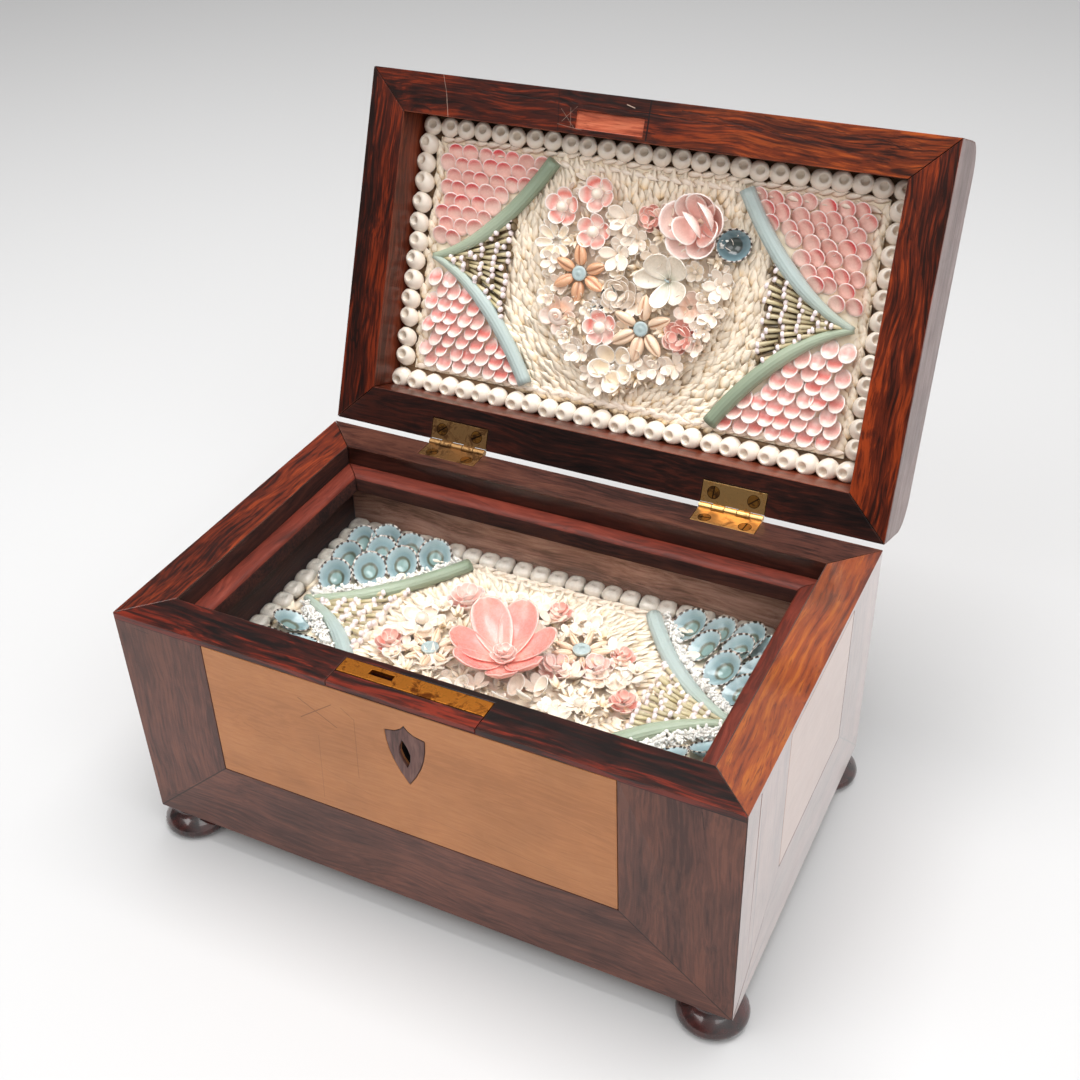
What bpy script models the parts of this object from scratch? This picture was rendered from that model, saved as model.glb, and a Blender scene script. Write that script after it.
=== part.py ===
# Shell box: a veneered wooden case on bun feet with a hinged lid and a shell picture in each half.
#
# Sizes are millimetres and become metres when an object is made. There are three sets of axes:
#   case     x right, y back, z up, from the middle of the case's rim
#   lid      the same axes from the middle of the shut lid's rim
#   picture  x right, t up the picture, h off the board that carries it

import math

import bmesh
import bpy
from mathutils import Matrix, Vector
from mathutils.geometry import interpolate_bezier

MM = 0.001
GAP = 0.3
HALF_GAP = GAP / 2

# Case
WIDTH = 300.0
DEPTH = 185.2
CASE_HEIGHT = 120.0
CASE_TAPER = 1.8
WALL = 20.5
MITRE_OFFSET = (WIDTH - DEPTH) / 2
BOTTOM_THICK = 8.0
BOTTOM_REBATE = 3.0
BOARD_THICK = 4.0
GROOVE = 1.5
BOARD_DEPTH = 50.0
LIP_TOP = 10.0
LIP_HEIGHT = 9.5
LIP_WIDTH = 10.0
LIP_ROUND = 3.0
GLASS_TOP = 19.8
GLASS_THICK = 2.0
INNER_X = WIDTH / 2 - WALL
INNER_Y = DEPTH / 2 - WALL

# Feet
FOOT_HEIGHT = 14.0
FOOT_X = 135.9
FOOT_Y = 80.1
FOOT_RADIUS = 16.0
FOOT_SIDES = 12

# Inlays
INLAY_DEPTH = 3.0
FRONT_PANEL = (-101.4, 96.8, -76.8, -3.4)
SIDE_PANEL = (-40.0, 47.0, -78.0, -3.4)
SHIELD_X = 0.8
SHIELD_HALF = 9.5
SHIELD_PEAK = -12.0
SHIELD_SHOULDER = -17.0
SHIELD_POINT = -44.8
SHIELD_THICK = 1.4
KEYHOLE_TOP = -19.8
KEYHOLE_BOTTOM = -35.4
KEYHOLE_HALF = 2.7
KEYHOLE_DEPTH = 14.0
PLATE_X = (-36.0, 35.0)
PLATE_Y = (-84.3, -75.7)
PLATE_THICK = 1.8
SLOT_X = (-22.0, -10.6)
SLOT_Y = (-81.2, -77.9)
SLOT_DEPTH = 9.0
PATCH_INNER_Y = -84.9
PATCH_THICK = 2.4
CRACK_WIDTH = 0.6
CRACK_DEPTH = 1.6

# Lid
LID_THICK = 43.0
LID_ROUND = 15.0
LID_ROUND_STEPS = 6
LID_REBATE = 2.0
LID_BOARD_AT = 26.0
LID_OPEN = 111.35
SCAR_X = (-33.5, 1.8)
SCAR_FROM_BACK = (167.5, 176.0)
SCAR_DEPTH = 1.2

# Hinges
HINGE_X = 75.4
HINGE_LENGTH = 32.3
HINGE_BACK = 1.5
KNUCKLES = 5
KNUCKLE_RADIUS = 1.9
KNUCKLE_SIDES = 8
PIN_SIDES = 6
PIN_RADIUS = 0.8
BORE_RADIUS = 1.1
LEAF_THICK = 1.2
BASE_LEAF_REACH = 12.9
LID_LEAF_REACH = 12.6
LEAF_CLEAR = 2.2
MORTISE_DEPTH = 1.5

# Shell pictures
BORDER_X = 124.2
BORDER_T = 66.9
BORDER_COLUMNS = 26
BORDER_ROWS = 12
GROUND_X = 119.0
GROUND_T = 61.7
GROUND_TOP = 2.0
SHELL_BED = GROUND_TOP + GAP
SPINE_APEX = 113.6
SPINE_END = (51.0, 57.5)
SPINE_BEND = ((91.5, 6.7), (70.3, 26.0))
SPINE_RADIUS = 3.2
SPINE_SIDES = 5
SPINE_CLEAR = 1.5
QUILL_REACHES = (11.0, 22.0, 33.5, 45.0)
SCALE_EDGES = (9.0, 20.0, 31.0, 41.5, 51.5, 61.2)
SCALE_WIDTH = 8.2
SCALE_NOTCH = 2.4
FLOWER_BED = 4.0
FLOWER_BASE = FLOWER_BED + GAP

FINISHES = {
    "rosewood": ((0.105, 0.030, 0.018), 0.32, 0.0),
    "maple": ((0.42, 0.20, 0.085), 0.38, 0.0),
    "lip_wood": ((0.21, 0.045, 0.020), 0.30, 0.0),
    "pine": ((0.30, 0.17, 0.09), 0.75, 0.0),
    "ebonised": ((0.022, 0.009, 0.007), 0.18, 0.0),
    "brass": ((0.60, 0.33, 0.09), 0.35, 1.0),
    "old_brass": ((0.28, 0.17, 0.08), 0.50, 1.0),
    "glass": ((0.93, 0.97, 0.95), 0.03, 0.0),
    "pearl_shell": ((0.72, 0.68, 0.62), 0.32, 0.0),
    "cream_shell": ((0.80, 0.70, 0.52), 0.50, 0.0),
    "pink_shell": ((0.79, 0.40, 0.36), 0.35, 0.0),
    "deep_pink_shell": ((0.72, 0.22, 0.22), 0.28, 0.0),
    "spine": ((0.30, 0.42, 0.36), 0.45, 0.0),
    "quill": ((0.35, 0.30, 0.17), 0.55, 0.0),
    "limpet": ((0.28, 0.46, 0.52), 0.22, 0.0),
    "cowrie": ((0.66, 0.38, 0.19), 0.28, 0.0),
    "white_shell": ((0.82, 0.79, 0.70), 0.35, 0.0),
}


def lid_section():
    """Outer edge of the lid's cross-section, from the rim up: (distance from its middle, height)."""
    centre = (DEPTH / 2 - LID_ROUND, LID_THICK - LID_ROUND)
    points = [(DEPTH / 2, 0.0)]
    for step in range(LID_ROUND_STEPS + 1):
        angle = math.radians(90 * step / LID_ROUND_STEPS)
        points.append((centre[0] + LID_ROUND * math.cos(angle), centre[1] + LID_ROUND * math.sin(angle)))
    return points


def lid_reach():
    """How far behind the hinge axis the open lid comes."""
    turn = math.radians(LID_OPEN)
    offset = DEPTH / 2 + HINGE_BACK
    return max(-(offset + d) * math.cos(turn) + (z + HALF_GAP) * math.sin(turn) for d, z in lid_section())


AXIS_Y = DEPTH / 2 + HINGE_BACK
AXIS_Z = HALF_GAP
CASE_Y = (FOOT_Y + FOOT_RADIUS - AXIS_Y - lid_reach()) / 2
CASE_ORIGIN = Vector((0.0, CASE_Y, CASE_HEIGHT + FOOT_HEIGHT))
LID_ORIGIN = Vector((0.0, -AXIS_Y, HALF_GAP))


# ---------------------------------------------------------------- tools

def clear_scene():
    for obj in list(bpy.data.objects):
        bpy.data.objects.remove(obj, do_unlink=True)


def finish_material(finish):
    found = bpy.data.materials.get(finish)
    if found:
        return found
    colour, roughness, metallic = FINISHES[finish]
    made = bpy.data.materials.new(finish)
    made.use_nodes = True
    shader = made.node_tree.nodes["Principled BSDF"]
    shader.inputs["Base Color"].default_value = (*colour, 1.0)
    shader.inputs["Roughness"].default_value = roughness
    shader.inputs["Metallic"].default_value = metallic
    if finish == "glass":
        shader.inputs["Transmission Weight"].default_value = 1.0
        made.diffuse_color = (*colour, 0.3)
    else:
        made.diffuse_color = (*colour, 1.0)
    return made


def solid(points, faces, place=None):
    """A closed mesh from points and faces, with its normals turned outward."""
    bm = bmesh.new()
    verts = [bm.verts.new(place(p) if place else p) for p in points]
    for face in faces:
        bm.faces.new([verts[i] for i in face])
    bmesh.ops.remove_doubles(bm, verts=bm.verts, dist=0.001)
    bmesh.ops.recalc_face_normals(bm, faces=bm.faces)
    mesh = bpy.data.meshes.new("solid")
    bm.to_mesh(mesh)
    bm.free()
    return mesh


def loft(rings, place=None, closed=False):
    """Joins rings of equal length into one solid, with flat ends unless the rings close on themselves."""
    count = len(rings[0])
    points = [p for ring in rings for p in ring]
    faces = []
    last = len(rings) if closed else len(rings) - 1
    for a in range(last):
        b = (a + 1) % len(rings)
        for i in range(count):
            j = (i + 1) % count
            faces.append((a * count + i, a * count + j, b * count + j, b * count + i))
    if not closed:
        faces.append(tuple(range(count)))
        faces.append(tuple(range(len(points) - count, len(points))))
    return solid(points, faces, place)


def block(x, y, z, place=None):
    corners = [(x[0], y[0]), (x[1], y[0]), (x[1], y[1]), (x[0], y[1])]
    return loft([[(*corner, height) for corner in corners] for height in z], place)


def boolean(mesh, others, operation="DIFFERENCE"):
    """Cuts, joins or intersects meshes and gives back the result as one new mesh."""
    target = bpy.data.objects.new("target", mesh)
    bpy.context.scene.collection.objects.link(target)
    tools = []
    for other in others:
        tool = bpy.data.objects.new("tool", other)
        bpy.context.scene.collection.objects.link(tool)
        modifier = target.modifiers.new("boolean", "BOOLEAN")
        modifier.operation = operation
        modifier.solver = "EXACT"
        modifier.object = tool
        tools.append(tool)
    evaluated = target.evaluated_get(bpy.context.evaluated_depsgraph_get())
    result = bpy.data.meshes.new_from_object(evaluated)
    for obj in [target, *tools]:
        bpy.data.objects.remove(obj, do_unlink=True)
    return result


def add_object(name, mesh, finish, parent, origin, round_shape=False):
    """Makes a named object from a mesh in millimetres."""
    bm = bmesh.new()
    bm.from_mesh(mesh)
    bmesh.ops.remove_doubles(bm, verts=bm.verts, dist=0.002)
    bmesh.ops.dissolve_degenerate(bm, edges=bm.edges, dist=0.002)
    bmesh.ops.dissolve_limit(bm, verts=bm.verts, edges=bm.edges, angle_limit=0.0005)
    bmesh.ops.recalc_face_normals(bm, faces=bm.faces)
    bm.to_mesh(mesh)
    bm.free()
    mesh.transform(Matrix.Scale(MM, 4))
    mesh.name = name
    mesh.materials.clear()
    mesh.materials.append(finish_material(finish))
    if round_shape:
        mesh.shade_smooth()
        mesh.set_sharp_from_angle(angle=math.radians(35))
    obj = bpy.data.objects.new(name, mesh)
    bpy.context.scene.collection.objects.link(obj)
    obj.parent = parent
    obj.location = origin * MM
    return obj


def add_case(name, mesh, finish, round_shape=False):
    return add_object(name, mesh, finish, None, CASE_ORIGIN, round_shape)


def add_lid(name, mesh, finish, round_shape=False):
    return add_object(name, mesh, finish, bpy.data.objects["lid_pivot"], LID_ORIGIN, round_shape)


def on_case(point):
    """Picture to case axes."""
    x, t, h = point
    return (x, t, h - BOARD_DEPTH)


def on_lid(point):
    """Picture to lid axes: the lid's picture faces down when shut."""
    x, t, h = point
    return (x, -t, LID_BOARD_AT - h)


# ---------------------------------------------------------------- case

def mitred(section, side):
    """A board of one (distance from the middle, height) section, mitred to its neighbours at both ends."""
    cut = HALF_GAP * math.sqrt(2)
    rings = []
    for end in (-1, 1):
        ring = []
        for distance, z in section:
            if side in ("front", "back"):
                reach = end * (distance + MITRE_OFFSET - cut)
                ring.append((reach, distance if side == "back" else -distance, z))
            else:
                reach = end * (distance - MITRE_OFFSET - cut)
                ring.append((distance if side == "right" else -distance, reach, z))
        rings.append(ring)
    return loft(rings)


def side_half(side):
    return DEPTH / 2 if side in ("front", "back") else WIDTH / 2


def face_point(side, along, z, depth):
    """A point on a tapered outer face: along it, at a height, and a depth into the wood."""
    out = side_half(side) + CASE_TAPER * z / CASE_HEIGHT - depth
    if side == "front":
        return (along, -out, z)
    return (out if side == "right" else -out, along, z)


def face_prism(side, outline, near, far):
    """An outline of (along, z) points on a case face, pushed from one depth to another."""
    return loft([[face_point(side, along, z, depth) for along, z in outline] for depth in (near, far)])


def rectangle(panel, grow=0.0):
    left, right, bottom, top = panel
    return [(left - grow, bottom - grow), (right + grow, bottom - grow),
            (right + grow, top + grow), (left - grow, top + grow)]


def shield(grow=0.0):
    """The escutcheon's outline: two hollow shoulders under a peak and curved sides down to a point."""
    height = SHIELD_SHOULDER - SHIELD_POINT
    right = [(0.0, SHIELD_PEAK + 1.4 * grow), (1.7, -14.0 + grow), (4.6, -15.9 + grow),
             (SHIELD_HALF + grow, SHIELD_SHOULDER + grow)]
    for step in range(1, 5):
        drop = step / 5
        half = SHIELD_HALF * (1 - drop ** 2.1)
        right.append((half + grow, SHIELD_SHOULDER - height * drop))
    point = [(0.0, SHIELD_POINT - 1.6 * grow)]
    left = [(-x, z) for x, z in right[:0:-1]]
    return [(SHIELD_X + x, z) for x, z in right + point + left]


def keyhole(grow=0.0):
    """A pointed oval."""
    middle = (KEYHOLE_TOP + KEYHOLE_BOTTOM) / 2
    half = (KEYHOLE_TOP - KEYHOLE_BOTTOM) / 2
    lean = 0.7
    points = []
    for side in (1, -1):
        for step in range(4):
            rise = side * (1 - step / 2)
            wide = side * (KEYHOLE_HALF + grow) * (1 - abs(rise) ** 1.7)
            points.append((SHIELD_X - 0.8 + wide - lean * rise, middle + rise * (half + 1.5 * grow)))
    return points


def wall_section(side):
    """Rebated for the bottom and grooved for the glass and the picture's board."""
    half = side_half(side)
    inner = half - WALL
    glass = -GLASS_TOP
    board = -BOARD_DEPTH
    bottom = -CASE_HEIGHT
    section = [(half, 0.0), (inner, 0.0)]
    for top, low in ((glass, glass - GLASS_THICK), (board, board - BOARD_THICK)):
        section += [(inner, top + GAP), (inner + GROOVE, top + GAP)]
        section += [(inner + GROOVE, low - GAP), (inner, low - GAP)]
    section += [(inner, bottom + BOTTOM_THICK), (inner + BOTTOM_REBATE, bottom + BOTTOM_THICK)]
    section += [(inner + BOTTOM_REBATE, bottom), (half - CASE_TAPER, bottom)]
    return section


def crack(side, start, end):
    """A narrow wedge along a line on a case face."""
    (a0, z0), (a1, z1) = start, end
    length = math.hypot(a1 - a0, z1 - z0)
    across = (-(z1 - z0) / length * CRACK_WIDTH / 2, (a1 - a0) / length * CRACK_WIDTH / 2)
    mouth = [(a0, z0), (a1 - across[0], z1 - across[1]), (a1 + across[0], z1 + across[1])]
    return face_prism(side, mouth, -0.5, CRACK_DEPTH)


def hinge_mortises(top, depth_up):
    """Cutters for the leaves and knuckles along a back edge, at the given rim height."""
    cutters = []
    for centre in (-HINGE_X, HINGE_X):
        x = (centre - HINGE_LENGTH / 2 - GAP, centre + HINGE_LENGTH / 2 + GAP)
        reach = max(BASE_LEAF_REACH, LID_LEAF_REACH) + GAP
        leaf = sorted((top - depth_up, top + MORTISE_DEPTH * depth_up))
        barrel = sorted((top - depth_up, top + (KNUCKLE_RADIUS + GAP) * depth_up))
        cutters.append(block(x, (AXIS_Y - reach, AXIS_Y), leaf))
        cutters.append(block(x, (AXIS_Y - KNUCKLE_RADIUS - GAP, AXIS_Y), barrel))
    return cutters


def build_walls():
    front = mitred(wall_section("front"), "front")
    cutters = [
        face_prism("front", rectangle(FRONT_PANEL, GAP), -1.0, INLAY_DEPTH),
        face_prism("front", keyhole(GAP), -1.0, KEYHOLE_DEPTH),
        block((PLATE_X[0] - GAP, PLATE_X[1] + GAP), (PLATE_Y[0] - GAP, PLATE_Y[1] + GAP),
              (-PLATE_THICK - GAP, 1.0)),
        block(SLOT_X, SLOT_Y, (-SLOT_DEPTH, 0.5)),
        block((PLATE_X[0] - GAP, PLATE_X[1] + GAP), (-DEPTH / 2 - 1.0, PATCH_INNER_Y + GAP),
              (-PATCH_THICK - GAP, 1.0)),
    ]
    add_case("case_front", boolean(front, cutters), "rosewood")
    back = mitred(wall_section("back"), "back")
    add_case("case_back", boolean(back, hinge_mortises(0.0, -1)), "rosewood")
    panel_low_front = (SIDE_PANEL[0], SIDE_PANEL[2])
    splits = {
        "left": [],
        "right": [
            crack("right", (-77.6, -104.0), (-76.6, -2.5)),
            crack("right", (panel_low_front[0] - 1.0, panel_low_front[1] - 1.5), (-89.3, -118.5)),
        ],
    }
    for side, cracks in splits.items():
        recess = face_prism(side, rectangle(SIDE_PANEL, GAP), -1.0, INLAY_DEPTH)
        wall = boolean(mitred(wall_section(side), side), [recess, *cracks])
        add_case("case_" + side, wall, "rosewood")
    inset = BOTTOM_REBATE - GAP
    bottom = block((-INNER_X - inset, INNER_X + inset), (-INNER_Y - inset, INNER_Y + inset),
                   (-CASE_HEIGHT, -CASE_HEIGHT + BOTTOM_THICK - GAP))
    add_case("case_bottom", bottom, "pine")


def build_inlays():
    thick = INLAY_DEPTH - GAP
    panel = face_prism("front", rectangle(FRONT_PANEL), 0.0, thick)
    recess = face_prism("front", shield(GAP), -1.0, SHIELD_THICK + GAP)
    hole = face_prism("front", keyhole(GAP), -1.0, INLAY_DEPTH + 1.0)
    add_case("panel_front", boolean(panel, [recess, hole]), "maple")
    for side in ("left", "right"):
        add_case("panel_" + side, face_prism(side, rectangle(SIDE_PANEL), 0.0, thick), "maple")
    plate = face_prism("front", shield(), 0.0, SHIELD_THICK)
    key = face_prism("front", keyhole(), -1.0, SHIELD_THICK + 1.0)
    add_case("escutcheon", boolean(plate, [key]), "rosewood")
    lock_plate = block(PLATE_X, PLATE_Y, (-PLATE_THICK, 0.0))
    add_case("lock_plate", boolean(lock_plate, [block(SLOT_X, SLOT_Y, (-PLATE_THICK - 1, 1.0))]), "brass")
    low = -PATCH_THICK
    front_top = -DEPTH / 2
    front_low = front_top - CASE_TAPER * low / CASE_HEIGHT
    ring = [(front_top, 0.0), (PATCH_INNER_Y, 0.0), (PATCH_INNER_Y, low), (front_low, low)]
    patch = loft([[(x, y, z) for y, z in ring] for x in PLATE_X])
    add_case("rim_patch", patch, "rosewood")


def build_lips_and_glass():
    top, low = -LIP_TOP, -LIP_TOP - LIP_HEIGHT
    for side in ("front", "back", "left", "right"):
        outer = side_half(side) - WALL - GAP
        inner = side_half(side) - WALL - LIP_WIDTH
        section = [(outer, top), (outer, low), (inner, low)]
        for step in range(4):
            angle = math.radians(180 - 30 * step)
            section.append((inner + LIP_ROUND * (1 + math.cos(angle)),
                            top - LIP_ROUND * (1 - math.sin(angle))))
        add_case("lip_" + side, mitred(section, side), "lip_wood")
    reach = GROOVE - GAP
    for name, top_z, thick, finish in (("glass_pane", -GLASS_TOP, GLASS_THICK, "glass"),
                                       ("case_picture_board", -BOARD_DEPTH, BOARD_THICK, "pine")):
        sheet = block((-INNER_X - reach, INNER_X + reach), (-INNER_Y - reach, INNER_Y + reach),
                      (top_z - thick, top_z))
        add_case(name, sheet, finish)


def build_feet():
    """Flattened bun feet, turned to one profile of (radius, height off the floor)."""
    profile = [(12.5, 0.0), (15.4, 1.3), (FOOT_RADIUS, 3.6), (14.9, 7.0), (11.6, 10.9),
               (9.6, FOOT_HEIGHT - GAP)]
    for across, x in (("left", -FOOT_X), ("right", FOOT_X)):
        for along, y in (("front", -FOOT_Y), ("back", FOOT_Y)):
            rings = []
            for radius, z in profile:
                turn = [2 * math.pi * i / FOOT_SIDES for i in range(FOOT_SIDES)]
                rings.append([(x + radius * math.cos(a), y + radius * math.sin(a),
                               z - CASE_HEIGHT - FOOT_HEIGHT) for a in turn])
            add_case("foot_" + along + "_" + across, loft(rings), "ebonised", round_shape=True)


# ---------------------------------------------------------------- hinges

def barrel(x, radius, centre, sides, tab=None):
    """A round bar along x; a tab runs from it to a leaf at (y, low z, high z)."""
    y0, z0 = centre
    ring = []
    for i in range(sides):
        angle = 2 * math.pi * i / sides
        ring.append((y0 + radius * math.cos(angle), z0 + radius * math.sin(angle)))
    pieces = [loft([[(end, y, z) for y, z in ring] for end in x])]
    if tab:
        pieces.append(block(x, (tab[0] - 0.4, y0 - 0.5 * radius), tab[1:]))
    return pieces


def leaf(centre, reach, low, high, axis, own, bored):
    """A hinge leaf: its plate, its own knuckles and the tabs between them."""
    start, end = centre - HINGE_LENGTH / 2, centre + HINGE_LENGTH / 2
    plate = block((start, end), (axis[0] - reach, axis[0] - LEAF_CLEAR), (low, high))
    pitch = HINGE_LENGTH / KNUCKLES
    parts = []
    for index in own:
        x = (start + pitch * index + (HALF_GAP if index else 0.0),
             start + pitch * (index + 1) - (HALF_GAP if index < KNUCKLES - 1 else 0.0))
        parts += barrel(x, KNUCKLE_RADIUS, axis, KNUCKLE_SIDES, (axis[0] - LEAF_CLEAR, low, high))
    if not bored:
        parts += barrel((start + 0.5, end - 0.5), PIN_RADIUS, axis, PIN_SIDES)
    joined = boolean(plate, parts, "UNION")
    if bored:
        joined = boolean(joined, barrel((start - 1, end + 1), BORE_RADIUS, axis, KNUCKLE_SIDES))
    return joined


def build_case_leaves():
    own = range(0, KNUCKLES, 2)
    for side, x, finish in (("left", -HINGE_X, "old_brass"), ("right", HINGE_X, "brass")):
        made = leaf(x, BASE_LEAF_REACH, -LEAF_THICK, 0.0, (AXIS_Y, AXIS_Z), own, bored=False)
        add_case("hinge_case_leaf_" + side, made, finish)


def build_lid_leaves():
    own = range(1, KNUCKLES, 2)
    for side, x, finish in (("left", -HINGE_X, "old_brass"), ("right", HINGE_X, "brass")):
        made = leaf(x, LID_LEAF_REACH, 0.0, LEAF_THICK, (AXIS_Y, -HALF_GAP), own, bored=True)
        add_lid("hinge_lid_leaf_" + side, made, finish)


# ---------------------------------------------------------------- lid

def build_lid():
    for side in ("front", "back"):
        inner = side_half(side) - WALL
        section = lid_section() + [(inner + LID_REBATE, LID_THICK), (inner + LID_REBATE, LID_BOARD_AT - GAP),
                                   (inner, LID_BOARD_AT - GAP), (inner, 0.0)]
        rail = mitred(section, side)
        if side == "back":
            rail = boolean(rail, hinge_mortises(0.0, 1))
        else:
            scar_y = [DEPTH / 2 - distance for distance in reversed(SCAR_FROM_BACK)]
            rail = boolean(rail, [block(SCAR_X, scar_y, (-1.0, SCAR_DEPTH))])
        add_lid("lid_" + side, rail, "rosewood", round_shape=True)
    arc = lid_section()[1:]
    ring = [(-DEPTH / 2, -1.0)] + [(-y, z) for y, z in arc] + arc[::-1] + [(DEPTH / 2, -1.0)]
    envelope = loft([[(x, y, z) for y, z in ring] for x in (-WIDTH, WIDTH)])
    for side in ("left", "right"):
        inner = side_half(side) - WALL
        over = LID_THICK + 1.0
        section = [(side_half(side), 0.0), (inner, 0.0), (inner, LID_BOARD_AT - GAP),
                   (inner + LID_REBATE, LID_BOARD_AT - GAP), (inner + LID_REBATE, over),
                   (side_half(side), over)]
        rail = boolean(mitred(section, side), [envelope.copy()], "INTERSECT")
        add_lid("lid_" + side, rail, "rosewood", round_shape=True)
    reach = LID_REBATE - GAP
    for name, low, high, finish in (
            ("lid_picture_board", LID_BOARD_AT, LID_BOARD_AT + BOARD_THICK, "pine"),
            ("lid_top_panel", LID_BOARD_AT + BOARD_THICK + GAP, LID_THICK, "maple")):
        sheet = block((-INNER_X - reach, INNER_X + reach), (-INNER_Y - reach, INNER_Y + reach), (low, high))
        add_lid(name, sheet, finish)


# ---------------------------------------------------------------- shell pictures

def bead_border(place, radius, sides):
    """A string of round shells along the picture's edge, fused where they touch."""
    path = []
    corners = [(-1, -1), (1, -1), (1, 1), (-1, 1)]
    counts = [BORDER_COLUMNS - 1, BORDER_ROWS + 1, BORDER_COLUMNS - 1, BORDER_ROWS + 1]
    for index, (start, count) in enumerate(zip(corners, counts)):
        end = corners[(index + 1) % 4]
        for step in range(2 * count):
            part = step / (2 * count)
            x = BORDER_X * (start[0] + (end[0] - start[0]) * part)
            t = BORDER_T * (start[1] + (end[1] - start[1]) * part)
            path.append((x, t, step % 2 == 0))
    flat = math.cos(math.pi / sides) if sides % 2 else 1.0
    rings = []
    for index, (x, t, swell) in enumerate(path):
        before, after = path[index - 1], path[(index + 1) % len(path)]
        along = Vector((after[0] - before[0], after[1] - before[1])).normalized()
        reach = radius if swell else 0.62 * radius
        ring = []
        for i in range(sides):
            angle = math.pi / 2 + 2 * math.pi * i / sides
            out, up = reach * math.cos(angle), reach * math.sin(angle)
            ring.append((x + along.y * out, t - along.x * out, GAP + radius * flat + up))
        rings.append(ring)
    return loft(rings, place, closed=True)


def ground(place):
    return block((-GROUND_X, GROUND_X), (-GROUND_T, GROUND_T), (GAP, GROUND_TOP), place)


def spine_curve(side, end, count):
    """Points (x, t) from the pair's apex out to one spine's far end."""
    knots = [Vector((side * x, end * t)) for x, t in ((SPINE_APEX, 0.0), *SPINE_BEND, SPINE_END)]
    return interpolate_bezier(*knots, count)


def spine_thickness(part):
    """A spine's radius a part of the way along it: thin at the apex, thickest near the middle."""
    return SPINE_RADIUS * (0.5 + 0.5 * min(1.0, 2.2 * part) - 0.08 * part)


def spine_pair(side, place):
    """Two ribbed spines that meet in a V at the end of the picture."""
    tubes = []
    for end in (-1, 1):
        rings = []
        curve = spine_curve(side, end, 6)
        for index, point in enumerate(curve):
            before, after = curve[max(index - 1, 0)], curve[min(index + 1, len(curve) - 1)]
            along = (after - before).normalized()
            part = index / (len(curve) - 1)
            radius = spine_thickness(part)
            ring = []
            for i in range(SPINE_SIDES):
                angle = math.pi / 2 + 2 * math.pi * i / SPINE_SIDES
                out, up = radius * math.cos(angle), radius * math.sin(angle)
                ring.append((point.x + along.y * out, point.y - along.x * out,
                             SHELL_BED + SPINE_RADIUS + up))
            rings.append(ring)
        tubes.append(loft(rings, place))
    return boolean(tubes[0], [tubes[1]], "UNION")


def relief(rows, floor, place):
    """A closed solid under rows of (x, t, h) points, which may differ in length, on a flat floor."""
    points = [p for row in rows for p in row]
    starts = [sum(len(r) for r in rows[:i]) for i in range(len(rows))]
    faces = []
    for index in range(len(rows) - 1):
        a, b = 0, 0
        spans, next_spans = len(rows[index]) - 1, len(rows[index + 1]) - 1
        while a < spans or b < next_spans:
            first, second = starts[index] + a, starts[index + 1] + b
            behind = (a + 0.5) * next_spans <= (b + 0.5) * spans
            if b == next_spans or (a < spans and behind):
                faces.append((first, first + 1, second))
                a += 1
            else:
                faces.append((first, second + 1, second))
                b += 1
    rim = list(range(len(rows[0])))
    rim += [starts[i] + len(rows[i]) - 1 for i in range(1, len(rows) - 1)]
    rim += list(reversed(range(starts[-1], len(points))))
    rim += [starts[i] for i in range(len(rows) - 2, 0, -1)]
    base = len(points)
    points += [(points[i][0], points[i][1], floor) for i in rim]
    for i in range(len(rim)):
        j = (i + 1) % len(rim)
        faces.append((rim[i], rim[j], base + j, base + i))
    faces.append(tuple(range(base, base + len(rim))))
    return solid(points, faces, place)


def fan_spread(radius):
    """Half the angle that is free between a pair of spines at a distance from their apex."""
    count = 60
    for index, point in enumerate(spine_curve(1, 1, count)):
        across = SPINE_APEX - point.x
        if math.hypot(across, point.y) >= radius:
            clear = spine_thickness(index / (count - 1)) + 3 * GAP
            return math.atan2(point.y, across) - math.asin(clear / radius)
    return 0.0


def quill_fan(side, place):
    """Short rows of quills that radiate from the spines' apex, each row stepping down to the next."""
    rows = []
    for near, far in zip(QUILL_REACHES, QUILL_REACHES[1:]):
        for radius, height, cells in ((near + GAP, 2.2, 4), (far, 5.0, 8)):
            spread = fan_spread(radius)
            row = []
            for step in range(cells + 1):
                angle = spread * (2 * step / cells - 1)
                rise = SHELL_BED + height - (1.4 if cells == 8 and step % 2 else 0.0)
                row.append((side * (SPINE_APEX - radius * math.cos(angle)), radius * math.sin(angle), rise))
            rows.append(row)
    return relief(rows, SHELL_BED, place)


def spine_side(t):
    """The x of a spine's outer edge at a height t up the picture, with clearance."""
    curve = spine_curve(1, 1, 60)
    for before, after in zip(curve, curve[1:]):
        if after.y >= t:
            along = (after - before).normalized()
            return before.x + (SPINE_RADIUS + SPINE_CLEAR) / abs(along.y)
    return curve[-1].x + SPINE_RADIUS + SPINE_CLEAR


def scale_field(side, end, place):
    """Rows of overlapping scales between a spine and the border, rims turned outward."""
    rows = []
    for low, high in zip(SCALE_EDGES, SCALE_EDGES[1:]):
        start, inner = spine_side(low + GAP), spine_side(high - SCALE_NOTCH)
        count = round((GROUND_X - inner) / SCALE_WIDTH)
        covered, rim = [], []
        for step in range(2 * count + 1):
            part = step / (2 * count)
            x = inner + (GROUND_X - inner) * part
            if step % 2:
                rim.append((side * x, end * high, SHELL_BED + 4.6))
            else:
                rim.append((side * x, end * (high - SCALE_NOTCH), SHELL_BED + 3.2))
                x = start + (GROUND_X - start) * part
                covered.append((side * x, end * (low + GAP), SHELL_BED + 1.2))
        rows += [covered, rim]
    return relief(rows, SHELL_BED, place)


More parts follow.
